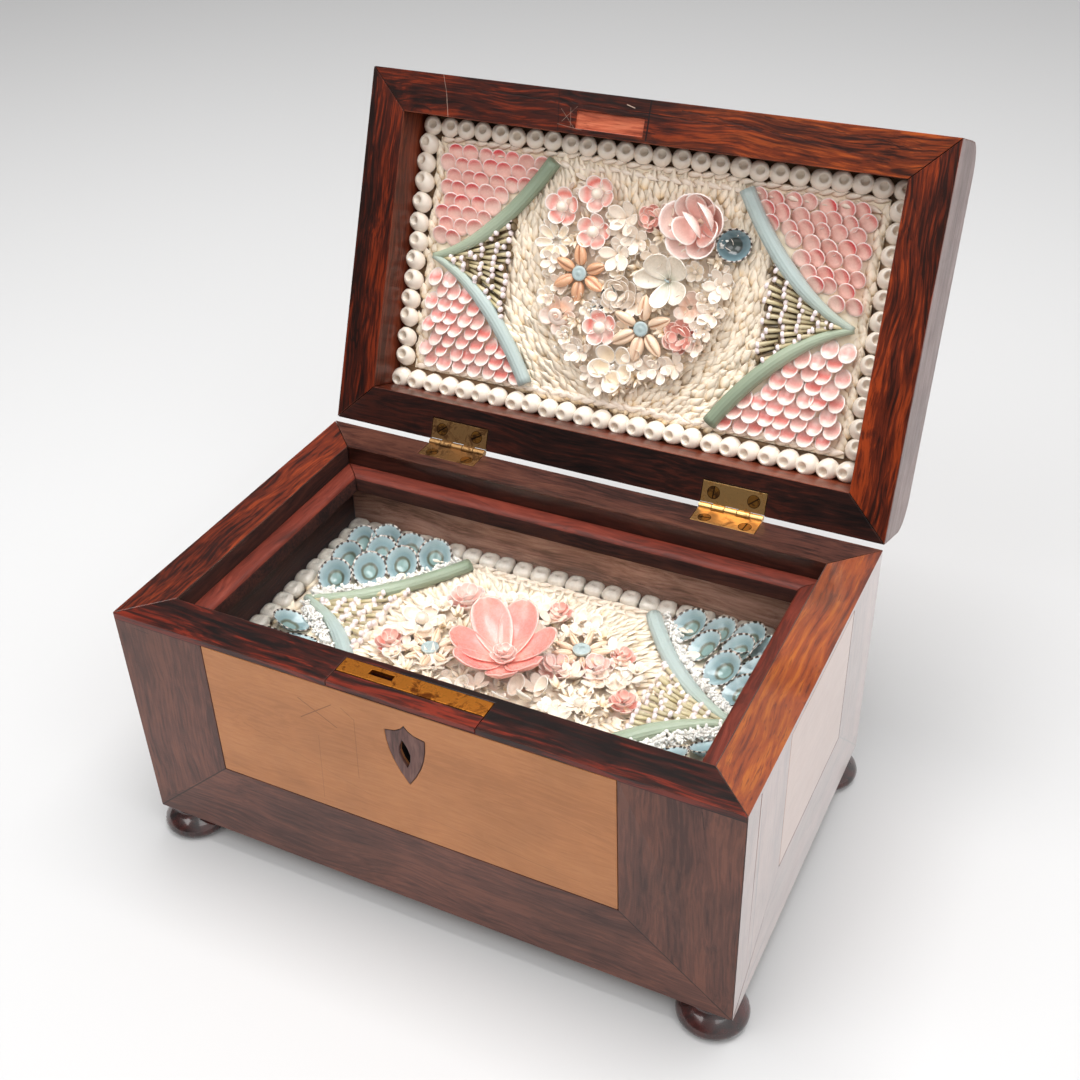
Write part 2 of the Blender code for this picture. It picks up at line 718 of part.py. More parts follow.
def limpet_field(side, end, place):
    """Bowl-shaped limpets in shrinking rows between a spine and the border, on a thin bed."""
    bed = [(GROUND_X, 10.0), (106.0, 13.5)]
    bed += [(spine_side(t), t) for t in (24.0, 36.0, 48.0, 56.0, 61.5)] + [(GROUND_X, 61.5)]
    plate = loft([[(side * x, end * t, h) for x, t in bed] for h in (SHELL_BED, SHELL_BED + 1.0)], place)
    bowls = []
    for row in range(4):
        for step in range(4 - row):
            x = 112.0 - 10.6 * step
            t = 23.5 + 11.2 * step + 13.0 * row - (3.0 if row == 3 else 0.0)
            if t > 57.0:
                x += 0.6 * (t - 57.0)
                t = 57.0
            bowls.append(shell_bowl(side * min(x, 112.4), end * t, SHELL_BED + 0.5, 5.6, 5.0, 5, place))
    return boolean(plate, bowls, "UNION")


def shell_bowl(x, t, base, radius, height, sides, place, dip=0.45, turn=0.0):
    """A round shell, hollow side out: narrow foot, wide rim and a dip in the middle."""
    rings = []
    for reach, h in ((0.55 * radius, 0.0), (radius, height)):
        rings.append([(x + reach * math.cos(turn + 2 * math.pi * i / sides),
                       t + reach * math.sin(turn + 2 * math.pi * i / sides), base + h) for i in range(sides)])
    points = rings[0] + rings[1] + [(x, t, base + height * (1 - dip))]
    faces = [tuple(range(sides))]
    for i in range(sides):
        j = (i + 1) % sides
        faces.append((i, j, sides + j, sides + i))
        faces.append((sides + i, sides + j, 2 * sides))
    return solid(points, faces, place)


def blossom(x, t, base, rings, petals, place, turn=0.0):
    """A flower of shells: rings of (radius, height, depth of the notches between petals)."""
    count = 2 * petals
    loops = []
    for radius, height, notch in rings:
        loop = []
        for i in range(count):
            angle = turn + 2 * math.pi * i / count
            reach = radius * (1 - notch * (i % 2))
            loop.append((x + reach * math.cos(angle), t + reach * math.sin(angle), base + height))
        loops.append(loop)
    return loft(loops, place)


def heart():
    points = []
    for step in range(18):
        a = 2 * math.pi * step / 18
        x = math.copysign(50.0 * abs(math.sin(a)) ** 1.5, math.sin(a))
        t = 13 * math.cos(a) - 3.2 * math.cos(2 * a) - 2 * math.cos(3 * a) - math.cos(4 * a)
        points.append((x, 5.5 + 3.9 * t))
    return points


def flower_bed(outline, shells, place):
    """The bed under the flowers, with the small shells and buds fused to it."""
    plate = loft([[(x, t, h) for x, t in outline] for h in (SHELL_BED, FLOWER_BED)], place)
    buds = []
    for x, t, radius, height, kind in shells:
        base = FLOWER_BED - 0.6
        if kind == "cup":
            buds.append(shell_bowl(x, t, base, radius, height, 5, place, turn=0.3))
        elif kind == "rose":
            rings = ((0.6 * radius, 0.0, 0.0), (radius, 0.45 * height, 0.12), (0.45 * radius, height, 0.1))
            buds.append(blossom(x, t, base, rings, 4, place))
        else:
            rings = ((0.4 * radius, 0.0, 0.0), (radius, height, 0.5))
            buds.append(blossom(x, t, base, rings, 5, place, turn=0.4))
    return boolean(plate, buds, "UNION")


def build_lid_picture():
    add_lid("lid_shell_border", bead_border(on_lid, 4.9, 4), "pearl_shell", round_shape=True)
    add_lid("lid_shell_ground", ground(on_lid), "cream_shell")
    for side, across in ((-1, "left"), (1, "right")):
        add_lid("lid_spines_" + across, spine_pair(side, on_lid), "spine", round_shape=True)
        add_lid("lid_quills_" + across, quill_fan(side, on_lid), "quill")
        for end, along in ((1, "upper"), (-1, "lower")):
            add_lid("lid_scales_" + along + "_" + across, scale_field(side, end, on_lid), "pink_shell")
    shells = (
        (-42.0, 36.0, 7.0, 7.0, "cup"), (-24.0, 45.5, 7.0, 7.0, "cup"), (-24.5, 28.0, 6.8, 8.0, "cup"),
        (-43.5, 20.0, 5.6, 7.0, "daisy"), (-15.5, -20.5, 7.0, 9.0, "cup"), (5.6, 36.5, 5.8, 9.0, "rose"),
        (-5.5, -2.0, 7.8, 10.0, "rose"), (-35.0, -17.5, 7.2, 8.0, "rose"), (30.6, -19.0, 7.4, 11.0, "rose"),
        (-3.0, -40.0, 8.4, 9.0, "cup"), (46.5, 21.5, 4.8, 7.0, "cup"), (45.0, 8.5, 6.0, 6.0, "daisy"),
        (-8.0, 34.0, 5.0, 6.0, "daisy"),
    )
    add_lid("lid_flower_bed", flower_bed(heart(), shells, on_lid), "white_shell")
    rose = ((7.0, 0.0, 0.0), (15.5, 3.5, 0.1), (17.3, 9.0, 0.12), (12.0, 11.0, 0.1), (10.0, 9.0, 0.0),
            (6.5, 13.0, 0.15), (2.0, 12.0, 0.0))
    add_lid("lid_rose", blossom(30.0, 37.5, FLOWER_BASE, rose, 6, on_lid), "pink_shell")
    cup = ((5.0, 0.0, 0.0), (11.0, 6.0, 0.1), (15.2, 12.0, 0.26), (9.0, 8.5, 0.1), (4.0, 7.5, 0.0),
           (2.2, 9.5, 0.0))
    add_lid("lid_white_flower", blossom(19.4, 8.6, FLOWER_BASE, cup, 5, on_lid, turn=math.radians(34)),
            "white_shell")
    cowries = ((5.0, 0.0, 0.0), (12.0, 2.5, 0.2), (13.2, 6.0, 0.28), (7.0, 7.5, 0.1), (4.6, 9.0, 0.0))
    add_lid("lid_cowrie_flower_left", blossom(-28.5, 4.0, FLOWER_BASE, cowries, 6, on_lid), "cowrie")
    tan = tuple((0.93 * radius, 1.15 * height, notch) for radius, height, notch in cowries)
    add_lid("lid_cowrie_flower_low", blossom(9.2, -18.6, FLOWER_BASE, tan, 6, on_lid, turn=0.3), "cowrie")


def build_case_picture():
    add_case("case_shell_border", bead_border(on_case, 5.0, 3), "pearl_shell", round_shape=True)
    add_case("case_shell_ground", ground(on_case), "cream_shell")
    for side, across in ((-1, "left"), (1, "right")):
        add_case("case_spines_" + across, spine_pair(side, on_case), "spine", round_shape=True)
        add_case("case_quills_" + across, quill_fan(side, on_case), "quill")
        for end, along in ((1, "back"), (-1, "front")):
            add_case("case_limpets_" + along + "_" + across, limpet_field(side, end, on_case), "limpet")
    oval = [(2.0 + 61.0 * math.cos(math.pi * i / 8), -4.0 + 46.0 * math.sin(math.pi * i / 8)) for i in range(16)]
    shells = (
        (-53.0, -14.0, 7.0, 9.0, "rose"), (54.0, -13.0, 7.4, 9.0, "rose"), (9.0, 38.0, 5.2, 8.0, "rose"),
        (51.5, 0.0, 5.6, 8.0, "rose"), (25.0, -7.0, 6.0, 6.0, "cup"), (40.0, -3.0, 6.0, 7.0, "cup"),
        (-30.0, 27.0, 8.0, 9.0, "cup"), (-46.0, 8.0, 8.0, 8.0, "cup"), (40.0, -24.0, 8.0, 6.0, "daisy"),
        (12.0, -27.0, 6.0, 8.0, "cup"), (25.0, -24.0, 6.0, 8.0, "cup"), (-26.0, -30.0, 8.0, 7.0, "daisy"),
        (-6.0, -36.0, 7.0, 7.0, "cup"),
    )
    add_case("case_flower_bed", flower_bed(oval, shells, on_case), "white_shell")
    pink = ((4.0, 0.0, 0.0), (5.5, 6.0, 0.0), (12.0, 9.0, 0.15), (25.0, 18.5, 0.42), (23.5, 20.0, 0.42),
            (9.0, 11.0, 0.1), (6.5, 11.0, 0.0), (6.0, 14.0, 0.0), (2.0, 15.0, 0.0))
    add_case("case_pink_flower", blossom(1.0, -1.0, FLOWER_BASE, pink, 6, on_case, turn=0.55),
             "deep_pink_shell")
    cowries = ((5.0, 0.0, 0.0), (11.0, 2.5, 0.2), (13.0, 6.0, 0.3), (6.0, 6.5, 0.1), (4.4, 8.0, 0.0))
    for across, x, t in (("left", -34.5, -9.5), ("right", 33.0, 16.0)):
        add_case("case_cowrie_flower_" + across, blossom(x, t, FLOWER_BASE, cowries, 6, on_case), "cowrie")


def main():
    clear_scene()
    pivot = bpy.data.objects.new("lid_pivot", None)
    bpy.context.scene.collection.objects.link(pivot)
    pivot.location = (CASE_ORIGIN + Vector((0.0, AXIS_Y, AXIS_Z))) * MM
    pivot.rotation_euler = (-math.radians(LID_OPEN), 0.0, 0.0)
    build_walls()
    build_inlays()
    build_lips_and_glass()
    build_feet()
    build_case_leaves()
    build_case_picture()
    build_lid()
    build_lid_leaves()
    build_lid_picture()
    nodes = [obj for obj in bpy.data.objects if obj.type == "MESH"]
    triangles = sum(len(poly.vertices) - 2 for obj in nodes for poly in obj.data.polygons)
    print("nodes", len(nodes), "triangles", triangles, "case y", round(CASE_Y, 3))


main()
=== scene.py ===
import math
import random
import bpy
import bmesh
from mathutils import Matrix, Vector, noise


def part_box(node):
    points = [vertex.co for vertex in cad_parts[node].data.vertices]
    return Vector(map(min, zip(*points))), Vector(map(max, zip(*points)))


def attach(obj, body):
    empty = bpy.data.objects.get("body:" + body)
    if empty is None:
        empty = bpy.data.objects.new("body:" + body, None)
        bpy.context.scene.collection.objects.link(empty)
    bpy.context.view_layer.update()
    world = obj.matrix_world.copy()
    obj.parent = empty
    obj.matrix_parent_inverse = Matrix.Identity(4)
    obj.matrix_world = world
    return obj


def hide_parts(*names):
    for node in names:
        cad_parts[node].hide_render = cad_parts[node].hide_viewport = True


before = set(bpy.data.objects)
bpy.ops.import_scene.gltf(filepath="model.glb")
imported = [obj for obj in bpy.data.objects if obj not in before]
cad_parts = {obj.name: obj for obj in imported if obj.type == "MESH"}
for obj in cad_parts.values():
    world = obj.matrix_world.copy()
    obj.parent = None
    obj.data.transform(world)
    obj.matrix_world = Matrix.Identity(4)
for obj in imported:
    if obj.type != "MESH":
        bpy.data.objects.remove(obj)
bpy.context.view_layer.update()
print("frame loaded")

mm = 0.001


# where the two shell pictures lie

hinge = {"pivot": (0.0, 0.043282, 0.13415), "open": 111.35, "back": 0.0941, "board": 0.02615}
boardLow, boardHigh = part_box("case_picture_board")
lidShut = Matrix.Translation((0, -hinge["back"], hinge["board"])) @ Matrix.Rotation(math.pi, 4, "X")
lidTurn = Matrix.Rotation(-math.radians(hinge["open"]), 4, "X")
pictures = {"case": Matrix.Translation((0, (boardLow[1] + boardHigh[1]) / 2, boardHigh[2])),
            "lid": Matrix.Translation(hinge["pivot"]) @ lidTurn @ lidShut}


# small helpers for nodes

def treeOf(*values):
    return next(value.id_data for value in values if isinstance(value, bpy.types.NodeSocket))


# Links a node's output to a socket, or sets a plain value on it.
def feed(socket, value):
    if isinstance(value, bpy.types.NodeSocket):
        socket.id_data.links.new(value, socket)
    else:
        socket.default_value = value


def addNode(tree, kind, inputs=None, **settings):
    made = tree.nodes.new(kind)
    for name, value in settings.items():
        setattr(made, name, value)
    for name, value in (inputs or {}).items():
        feed(made.inputs[name], value)
    return made


# An input's kind follows from its default; a word names the kind of one that has none.
def newGroup(name, takes, gives, kind="ShaderNodeTree"):
    tree = bpy.data.node_groups.new(name, kind)
    for label, value in takes.items():
        word = value if isinstance(value, str) else type(value).__name__.capitalize()
        if isinstance(value, tuple):
            word = "Color" if len(value) == 4 else "Vector"
        socket = tree.interface.new_socket(label, in_out="INPUT", socket_type="NodeSocket" + word)
        if word != value:
            socket.default_value = value
    for label, word in gives.items():
        tree.interface.new_socket(label, in_out="OUTPUT", socket_type="NodeSocket" + word)
    return tree, tree.nodes.new("NodeGroupInput").outputs, tree.nodes.new("NodeGroupOutput").inputs


def maths(operation, a, b=0.0, clamp=False):
    return addNode(treeOf(a, b), "ShaderNodeMath", {0: a, 1: b}, operation=operation,
                   use_clamp=clamp).outputs[0]


def plus(a, b):
    return maths("ADD", a, b)


def minus(a, b):
    return maths("SUBTRACT", a, b)


def times(a, b):
    return maths("MULTIPLY", a, b)


def vectors(operation, a, b=(0, 0, 0), scale=None):
    inputs = {0: a, 1: b} if scale is None else {0: a, "Scale": scale}
    made = addNode(a.id_data, "ShaderNodeVectorMath", inputs, operation=operation)
    return made.outputs["Value" if operation in ("DOT_PRODUCT", "LENGTH") else "Vector"]


def fade(value, low, high, toLow=0.0, toHigh=1.0, smooth=True):
    return addNode(value.id_data, "ShaderNodeMapRange", {
        "Value": value, "From Min": low, "From Max": high, "To Min": toLow, "To Max": toHigh},
        interpolation_type="SMOOTHSTEP" if smooth else "LINEAR").outputs["Result"]


def blend(factor, a, b, mode="MIX"):
    made = addNode(treeOf(factor, a, b), "ShaderNodeMix", data_type="RGBA", blend_type=mode)
    for place, value in ((0, factor), (6, a), (7, b)):
        feed(made.inputs[place], value)
    return made.outputs[2]


def shaded(colour, shade):
    grey = addNode(colour.id_data, "ShaderNodeCombineColor", {0: shade, 1: shade, 2: shade}).outputs[0]
    return blend(1.0, colour, grey, "MULTIPLY")


def noiseOn(vector, scale, detail=3.0, roughness=0.55, distortion=0.0):
    return addNode(vector.id_data, "ShaderNodeTexNoise", {
        "Vector": vector, "Scale": scale, "Detail": detail, "Roughness": roughness,
        "Distortion": distortion}).outputs["Fac"]


def objectPlace(tree):
    return addNode(tree, "ShaderNodeTexCoord").outputs["Object"]


def coordinate(place, axis):
    return addNode(place.id_data, "ShaderNodeSeparateXYZ", {0: place}).outputs[axis]


# sRGB numbers from 0 to 255 to a linear colour.
def rgb(*parts):
    parts = [part / 255 for part in parts]
    return (*(c / 12.92 if c <= 0.04045 else ((c + 0.055) / 1.055) ** 2.4 for c in parts), 1.0)


# shared effects

def buildWoodGrain():
    tree, start, end = newGroup("woodGrain", {
        "Vector": (0, 0, 0), "Dark": rgb(40, 18, 14), "Middle": rgb(90, 42, 30), "Light": rgb(140, 70, 40),
        "Fine": 700.0, "Broad": 45.0, "Streaks": 0.6, "Pores": 0.5}, {"Color": "Color", "Height": "Float"})
    wander = addNode(tree, "ShaderNodeTexNoise", {
        "Vector": vectors("MULTIPLY", start["Vector"], (0.5, 1.0, 1.0)), "Scale": 22.0, "Detail": 2.0})
    bent = vectors("ADD", start["Vector"], vectors("MULTIPLY", wander.outputs["Color"], (0.0, 0.02, 0.02)))

    def drawnOut(amount):
        return vectors("MULTIPLY", bent, (amount, 1.0, 1.0))
    fine = noiseOn(drawnOut(0.07), start["Fine"], 4.0, 0.6)
    broad = noiseOn(drawnOut(0.08), start["Broad"], 5.0, 0.6, 0.3)
    pores = noiseOn(drawnOut(0.07), 1700.0, 1.0)
    veins = noiseOn(drawnOut(0.1), times(start["Broad"], 1.7), 2.0, 0.5, 0.8)
    tone = fade(plus(times(fine, 0.5), times(broad, 0.5)), 0.36, 0.64)
    wood = blend(fade(tone, 0.0, 0.5), start["Dark"], start["Middle"])
    wood = blend(fade(tone, 0.5, 1.0), wood, start["Light"])
    vein = fade(maths("ABSOLUTE", minus(veins, 0.47)), 0.03, 0.004)
    vein = times(vein, fade(broad, 0.62, 0.42))
    wood = blend(times(vein, start["Streaks"]), wood, start["Dark"])
    pit = times(fade(pores, 0.6, 0.7), start["Pores"])
    feed(end["Color"], blend(times(pit, 0.7), wood, start["Dark"]))
    feed(end["Height"], minus(times(fine, 0.4), pit))
    return tree


# A thin line between two points: a scratch, a joint or a crack.
def buildScoreLine():
    tree, start, end = newGroup("scoreLine", {
        "Vector": (0, 0, 0), "Start": (0, 0, 0), "End": (0, 0, 1), "Width": 0.0003, "Wobble": 0.0,
        "Keep": (1, 1, 1)}, {"Mask": "Float"})
    rough = addNode(tree, "ShaderNodeTexNoise", {"Vector": start["Vector"], "Scale": 160.0}).outputs["Color"]
    waver = vectors("SCALE", vectors("SUBTRACT", rough, (0.5, 0.5, 0.5)), scale=start["Wobble"])
    here = vectors("ADD", start["Vector"], waver)
    away = vectors("MULTIPLY", vectors("SUBTRACT", here, start["Start"]), start["Keep"])
    span = vectors("MULTIPLY", vectors("SUBTRACT", start["End"], start["Start"]), start["Keep"])
    part = maths("DIVIDE", vectors("DOT_PRODUCT", away, span), vectors("DOT_PRODUCT", span, span), True)
    gap = vectors("LENGTH", vectors("SUBTRACT", away, vectors("SCALE", span, scale=part)))
    feed(end["Mask"], fade(gap, times(start["Width"], 0.5), start["Width"], 1.0, 0.0, smooth=False))
    return tree


# Where the surface turns a corner, broken up so that the wear looks handled.
def buildEdgeWear():
    tree, start, end = newGroup("edgeWear", {"Vector": (0, 0, 0), "Radius": 0.0015, "Patchy": 60.0},
                                {"Mask": "Float"})
    bevel = addNode(tree, "ShaderNodeBevel", {"Radius": start["Radius"]}, samples=4)
    plain = addNode(tree, "ShaderNodeNewGeometry")
    alike = vectors("DOT_PRODUCT", bevel.outputs["Normal"], plain.outputs["Normal"])
    patches = noiseOn(start["Vector"], start["Patchy"], 5.0, 0.7)
    feed(end["Mask"], times(fade(alike, 0.98, 0.8), fade(patches, 0.4, 0.62)))
    return tree


# Colour over one shell: deep at the heart, paler body, pale rim, faint growth rings.
def buildShellTone():
    tree, start, end = newGroup("shellTone", {
        "Place": (0, 0, 0), "Tint": 0.5, "Deep": rgb(220, 120, 110), "Body": rgb(240, 190, 180),
        "Rim": rgb(250, 245, 240), "Rim Start": 0.8, "Deep Middle": 0.5, "Deep Reach": 0.4, "Rings": 40.0,
        "Vary": 0.3}, {"Color": "Color", "Height": "Float"})
    along, edge, tint = coordinate(start["Place"], "X"), coordinate(start["Place"], "Y"), start["Tint"]
    spot = addNode(tree, "ShaderNodeCombineXYZ", {0: times(along, 3.0), 1: times(edge, 3.0),
                                                  2: times(tint, 40.0)})
    mottle = noiseOn(spot.outputs[0], 1.2, 3.0)
    away = maths("DIVIDE", maths("ABSOLUTE", minus(along, start["Deep Middle"])), start["Deep Reach"])
    depth = fade(plus(away, times(mottle, 0.35)), 1.25, 0.2)
    strength = fade(tint, 0.0, 1.0, 0.45, 1.0, smooth=False)
    colour = blend(times(depth, strength), start["Body"], start["Deep"])
    colour = shaded(colour, plus(1.0, times(minus(tint, 0.5), start["Vary"])))
    lip = maths("MULTIPLY", minus(edge, start["Rim Start"]), 9.0, True)
    feed(end["Color"], blend(lip, colour, start["Rim"]))
    rings = maths("SINE", times(along, start["Rings"]))
    feed(end["Height"], plus(times(rings, 0.5), mottle))
    return tree


woodGrain = buildWoodGrain()
scoreLine = buildScoreLine()
edgeWear = buildEdgeWear()
shellTone = buildShellTone()


# A material with one Principled shader; plain values go straight onto its sockets.
def newMaterial(name, **shader):
    made = bpy.data.materials.new(name)
    made.use_nodes = True
    sockets = made.node_tree.nodes["Principled BSDF"].inputs
    for label, value in shader.items():
        sockets[label].default_value = value
    return made, made.node_tree, sockets


def addBump(sockets, height, strength, distance):
    bump = addNode(height.id_data, "ShaderNodeBump", {"Height": height, "Strength": strength,
                                                      "Distance": distance})
    feed(sockets["Normal"], bump.outputs["Normal"])


# wood

grainTurns = {"x": (0.0, 0.0, 0.0), "y": (0.0, 0.0, -90.0), "z": (0.0, 90.0, 0.0)}
polish = {"Coat Weight": 0.12, "Coat Roughness": 0.1, "Roughness": 0.32, "IOR": 1.5,
          "Specular IOR Level": 0.32}
lineTones = {"dark": rgb(22, 12, 10), "pale": rgb(176, 150, 134)}


def grainOn(place, direction, look, offset):
    turned = addNode(place.id_data, "ShaderNodeMapping", {
        "Vector": place, "Location": offset,
        "Rotation": [math.radians(angle) for angle in grainTurns[direction]]})
    inputs = {label: look[label.lower()]
              for label in ("Dark", "Middle", "Light", "Fine", "Broad", "Streaks", "Pores")}
    return addNode(place.id_data, "ShaderNodeGroup", {"Vector": turned.outputs[0], **inputs},
                   node_tree=woodGrain).outputs


# A mask of the places whose coordinate lies between two values, in metres.
def between(axis, low, high):
    def mask(place):
        value = coordinate(place, axis)
        return times(maths("GREATER_THAN", value, low), maths("LESS_THAN", value, high))
    return mask


# A mask that grows from nothing at one coordinate to full at another.
def growing(axis, low, high):
    return lambda place: fade(coordinate(place, axis), low, high)


def both(first, second):
    return lambda place: times(first(place), second(place))


# Polished veneer: grain that turns from region to region, joints and scratches, worn edges.
def woodMaterial(name, direction, look, offset=(0, 0, 0), lines=(), regions=(), wear=0.3, picture=None,
                 keep=(1, 1, 1), **shader):
    plain = {**polish, **shader}
    made, tree, sockets = newMaterial(name, **plain)
    place = objectPlace(tree)
    if picture:
        unset = picture.inverted()
        place = addNode(tree, "ShaderNodeMapping", {"Vector": place, "Location": unset.translation,
                                                    "Rotation": unset.to_euler()}).outputs[0]
    grain = grainOn(place, direction, look, offset)
    colour, height, dull = grain["Color"], grain["Height"], None
    for test, other, otherLook in regions:
        mask = test(place)
        colour = blend(mask, colour, grainOn(place, other, otherLook, offset)["Color"])
        if "dull" in otherLook:
            dull = times(mask, otherLook["dull"])
    cloudy = look.get("cloud", 0.2)
    cloud = noiseOn(place, 24.0, 4.0, 0.6)
    colour = shaded(colour, fade(cloud, 0.3, 0.7, 1 - cloudy, 1 + 0.75 * cloudy))
    worn = addNode(tree, "ShaderNodeGroup", {"Vector": place, "Radius": 0.0012},
                   node_tree=edgeWear).outputs["Mask"]
    colour = blend(times(worn, wear), colour, look.get("worn", rgb(128, 74, 52)))
    for label, tone in lineTones.items():
        mark = None
        for start, end, width, wobble, strength, *pale in lines:
            if (pale or ["dark"])[0] != label:
                continue
            score = addNode(tree, "ShaderNodeGroup", {
                "Vector": place, "Start": [c * mm for c in start], "End": [c * mm for c in end],
                "Width": width * mm, "Wobble": wobble * mm, "Keep": keep}, node_tree=scoreLine)
            score = times(score.outputs["Mask"], strength)
            mark = maths("MAXIMUM", mark, score) if mark else score
        if mark:
            colour = blend(mark, colour, tone)
            height = minus(height, mark)
    feed(sockets["Base Color"], colour)
    gloss = plus(plain["Roughness"] - 0.09, times(noiseOn(place, 60.0, 5.0, 0.7), 0.2))
    gloss = plus(gloss, times(worn, 0.2))
    feed(sockets["Roughness"], plus(gloss, dull) if dull else gloss)
    addBump(sockets, height, 0.2, 0.0002)
    return made


def addBevel(board, width, angle):
    bevel = board.modifiers.new("eased edge", "BEVEL")
    bevel.width = width * mm
    bevel.segments = 2
    bevel.limit_method = "ANGLE"
    bevel.angle_limit = math.radians(angle)
    return bevel


# Merges the loose triangles and takes the sharpness off a board's edges.
def easeEdges(node, width):
    board = bpy.data.objects[node]
    board.modifiers.new("weld", "WELD").merge_threshold = 0.00001
    addBevel(board, width, 32)


def dress(node, material):
    for slot in bpy.data.objects[node].material_slots:
        slot.material = material


# Turns a drawn shape into an object; one that has its material already goes into the scene.
def finishShape(shape, name, material=None):
    mesh = bpy.data.meshes.new(name)
    shape.to_mesh(mesh)
    shape.free()
    made = bpy.data.objects.new(name, mesh)
    if material:
        mesh.materials.append(material)
        bpy.context.scene.collection.objects.link(made)
    return made


# A merged copy of a solid with curved faces, smooth over its curves and sharp at its edges.
def smoothCopy(node, name, body, material, width, angle=40):
    shape = bmesh.new()
    shape.from_mesh(bpy.data.objects[node].data)
    bmesh.ops.remove_doubles(shape, verts=shape.verts, dist=0.000001)
    bmesh.ops.dissolve_limit(shape, angle_limit=math.radians(0.5), verts=shape.verts, edges=shape.edges)
    for face in shape.faces:
        face.smooth = True
    for edge in shape.edges:
        edge.smooth = len(edge.link_faces) == 2 and edge.calc_face_angle() < math.radians(angle)
    made = finishShape(shape, name, material)
    addBevel(made, width, angle).harden_normals = True
    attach(made, body)
    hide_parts(node)


caseWall = {"panelLow": 0.0572, "stripLow": 0.1306, "rim": 0.1337}


# The upright pieces beside a panel: over the mitres and under the top strip.
def stiles(axis, centre, half, slope):
    def mask(place):
        across = minus(maths("ABSOLUTE", minus(coordinate(place, axis), centre)), half)
        z = coordinate(place, "Z")
        upper = maths("GREATER_THAN", plus(z, times(across, slope)), caseWall["panelLow"])
        below = maths("LESS_THAN", z, caseWall["stripLow"])
        return times(times(upper, below), maths("GREATER_THAN", across, 0.0))
    return mask


# Grain in three tones; the rest is as on plain rosewood unless it says otherwise.
def toned(dark, middle, light, streaks, **other):
    return {"dark": rgb(*dark), "middle": rgb(*middle), "light": rgb(*light), "streaks": streaks,
            "fine": 700.0, "broad": 60.0, "pores": 0.45, **other}


maple = {"fine": 900.0, "broad": 26.0, "pores": 0.06}
woodTones = {
    "front": toned((68, 40, 34), (91, 55, 45), (108, 66, 52), 0.35, broad=75.0, pores=0.3),
    # Right wall: partly sun-faded rosewood, partly a painted reflection of the bright floor, which makes it
    # pale and greyish.
    "side": toned((76, 46, 40), (112, 76, 68), (130, 94, 84), 0.3),
    "rimFront": toned((14, 5, 4), (50, 16, 10), (112, 34, 18), 0.7, fine=420.0),
    "rimBack": toned((38, 20, 16), (72, 40, 32), (90, 54, 42), 0.3),
    # The side rims are redder and brighter than the front and back ones: partly the rosewood's own colour,
    # partly a painted sheen of the light their grain throws back.
    "rimLeftWithSheen": toned((38, 12, 7), (96, 34, 16), (134, 54, 24), 0.4),
    "rimRightWithSheen": toned((78, 24, 4), (128, 54, 10), (154, 80, 18), 0.1, fine=420.0, broad=40.0, pores=0.9),
    "inside": toned((28, 12, 9), (52, 25, 19), (70, 35, 26), 0.2, dull=0.45),
    # A paler band on the back wall under the glass: partly dust, partly the glass's reflection painted into
    # the wood.
    "dustAndReflection": toned((114, 82, 68), (158, 116, 98), (180, 138, 120), 0.3, dull=0.6),
    "lidRail": toned((22, 7, 4), (60, 18, 7), (112, 38, 13), 0.9, broad=80.0),
    "lidEast": toned((34, 11, 5), (84, 28, 11), (138, 52, 18), 0.9, broad=80.0),
    "lidTop": toned((40, 14, 6), (112, 44, 16), (170, 78, 28), 0.95, broad=70.0),
    "lidLow": toned((14, 7, 6), (36, 16, 12), (60, 25, 17), 0.6, broad=80.0),
    # The lid's right end is pale like the right wall: partly faded wood, partly a painted reflection of the
    # bright floor.
    "lidEndFadedAndSheen": toned((92, 70, 66), (124, 102, 98), (144, 122, 118), 0.25),
    "lidInside": toned((66, 26, 15), (104, 46, 28), (128, 62, 40), 0.2),
    "scar": toned((116, 50, 32), (166, 82, 56), (190, 106, 76), 0.1, pores=0.8),
    "shield": toned((58, 36, 32), (92, 60, 54), (112, 78, 70), 0.1, worn=rgb(24, 12, 10)),
    # Nearly black: painted shade on the walls of the keyhole.
    "keyholeShade": toned((4, 3, 3), (6, 4, 4), (8, 5, 5), 0.0, dull=0.5),
    "maple": toned((168, 110, 68), (177, 117, 73), (182, 123, 78), 0.0, cloud=0.1, worn=rgb(120, 78, 56),
                   **maple),
    # Right panel: partly sun-faded maple, partly a painted reflection of the bright floor.
    "mapleFadedAndSheen": toned((154, 112, 92), (166, 126, 106), (174, 136, 116), 0.0, cloud=0.05,
                       worn=rgb(150, 116, 98), **maple),
    "pine": toned((96, 74, 56), (150, 118, 88), (178, 146, 112), 0.3, fine=500.0, broad=40.0, pores=0.2),
    "lip": toned((76, 26, 15), (104, 38, 24), (120, 50, 34), 0.1),
}
sides = ("front", "back", "left", "right")


def runOf(side):
    return "x" if side in ("front", "back") else "y"


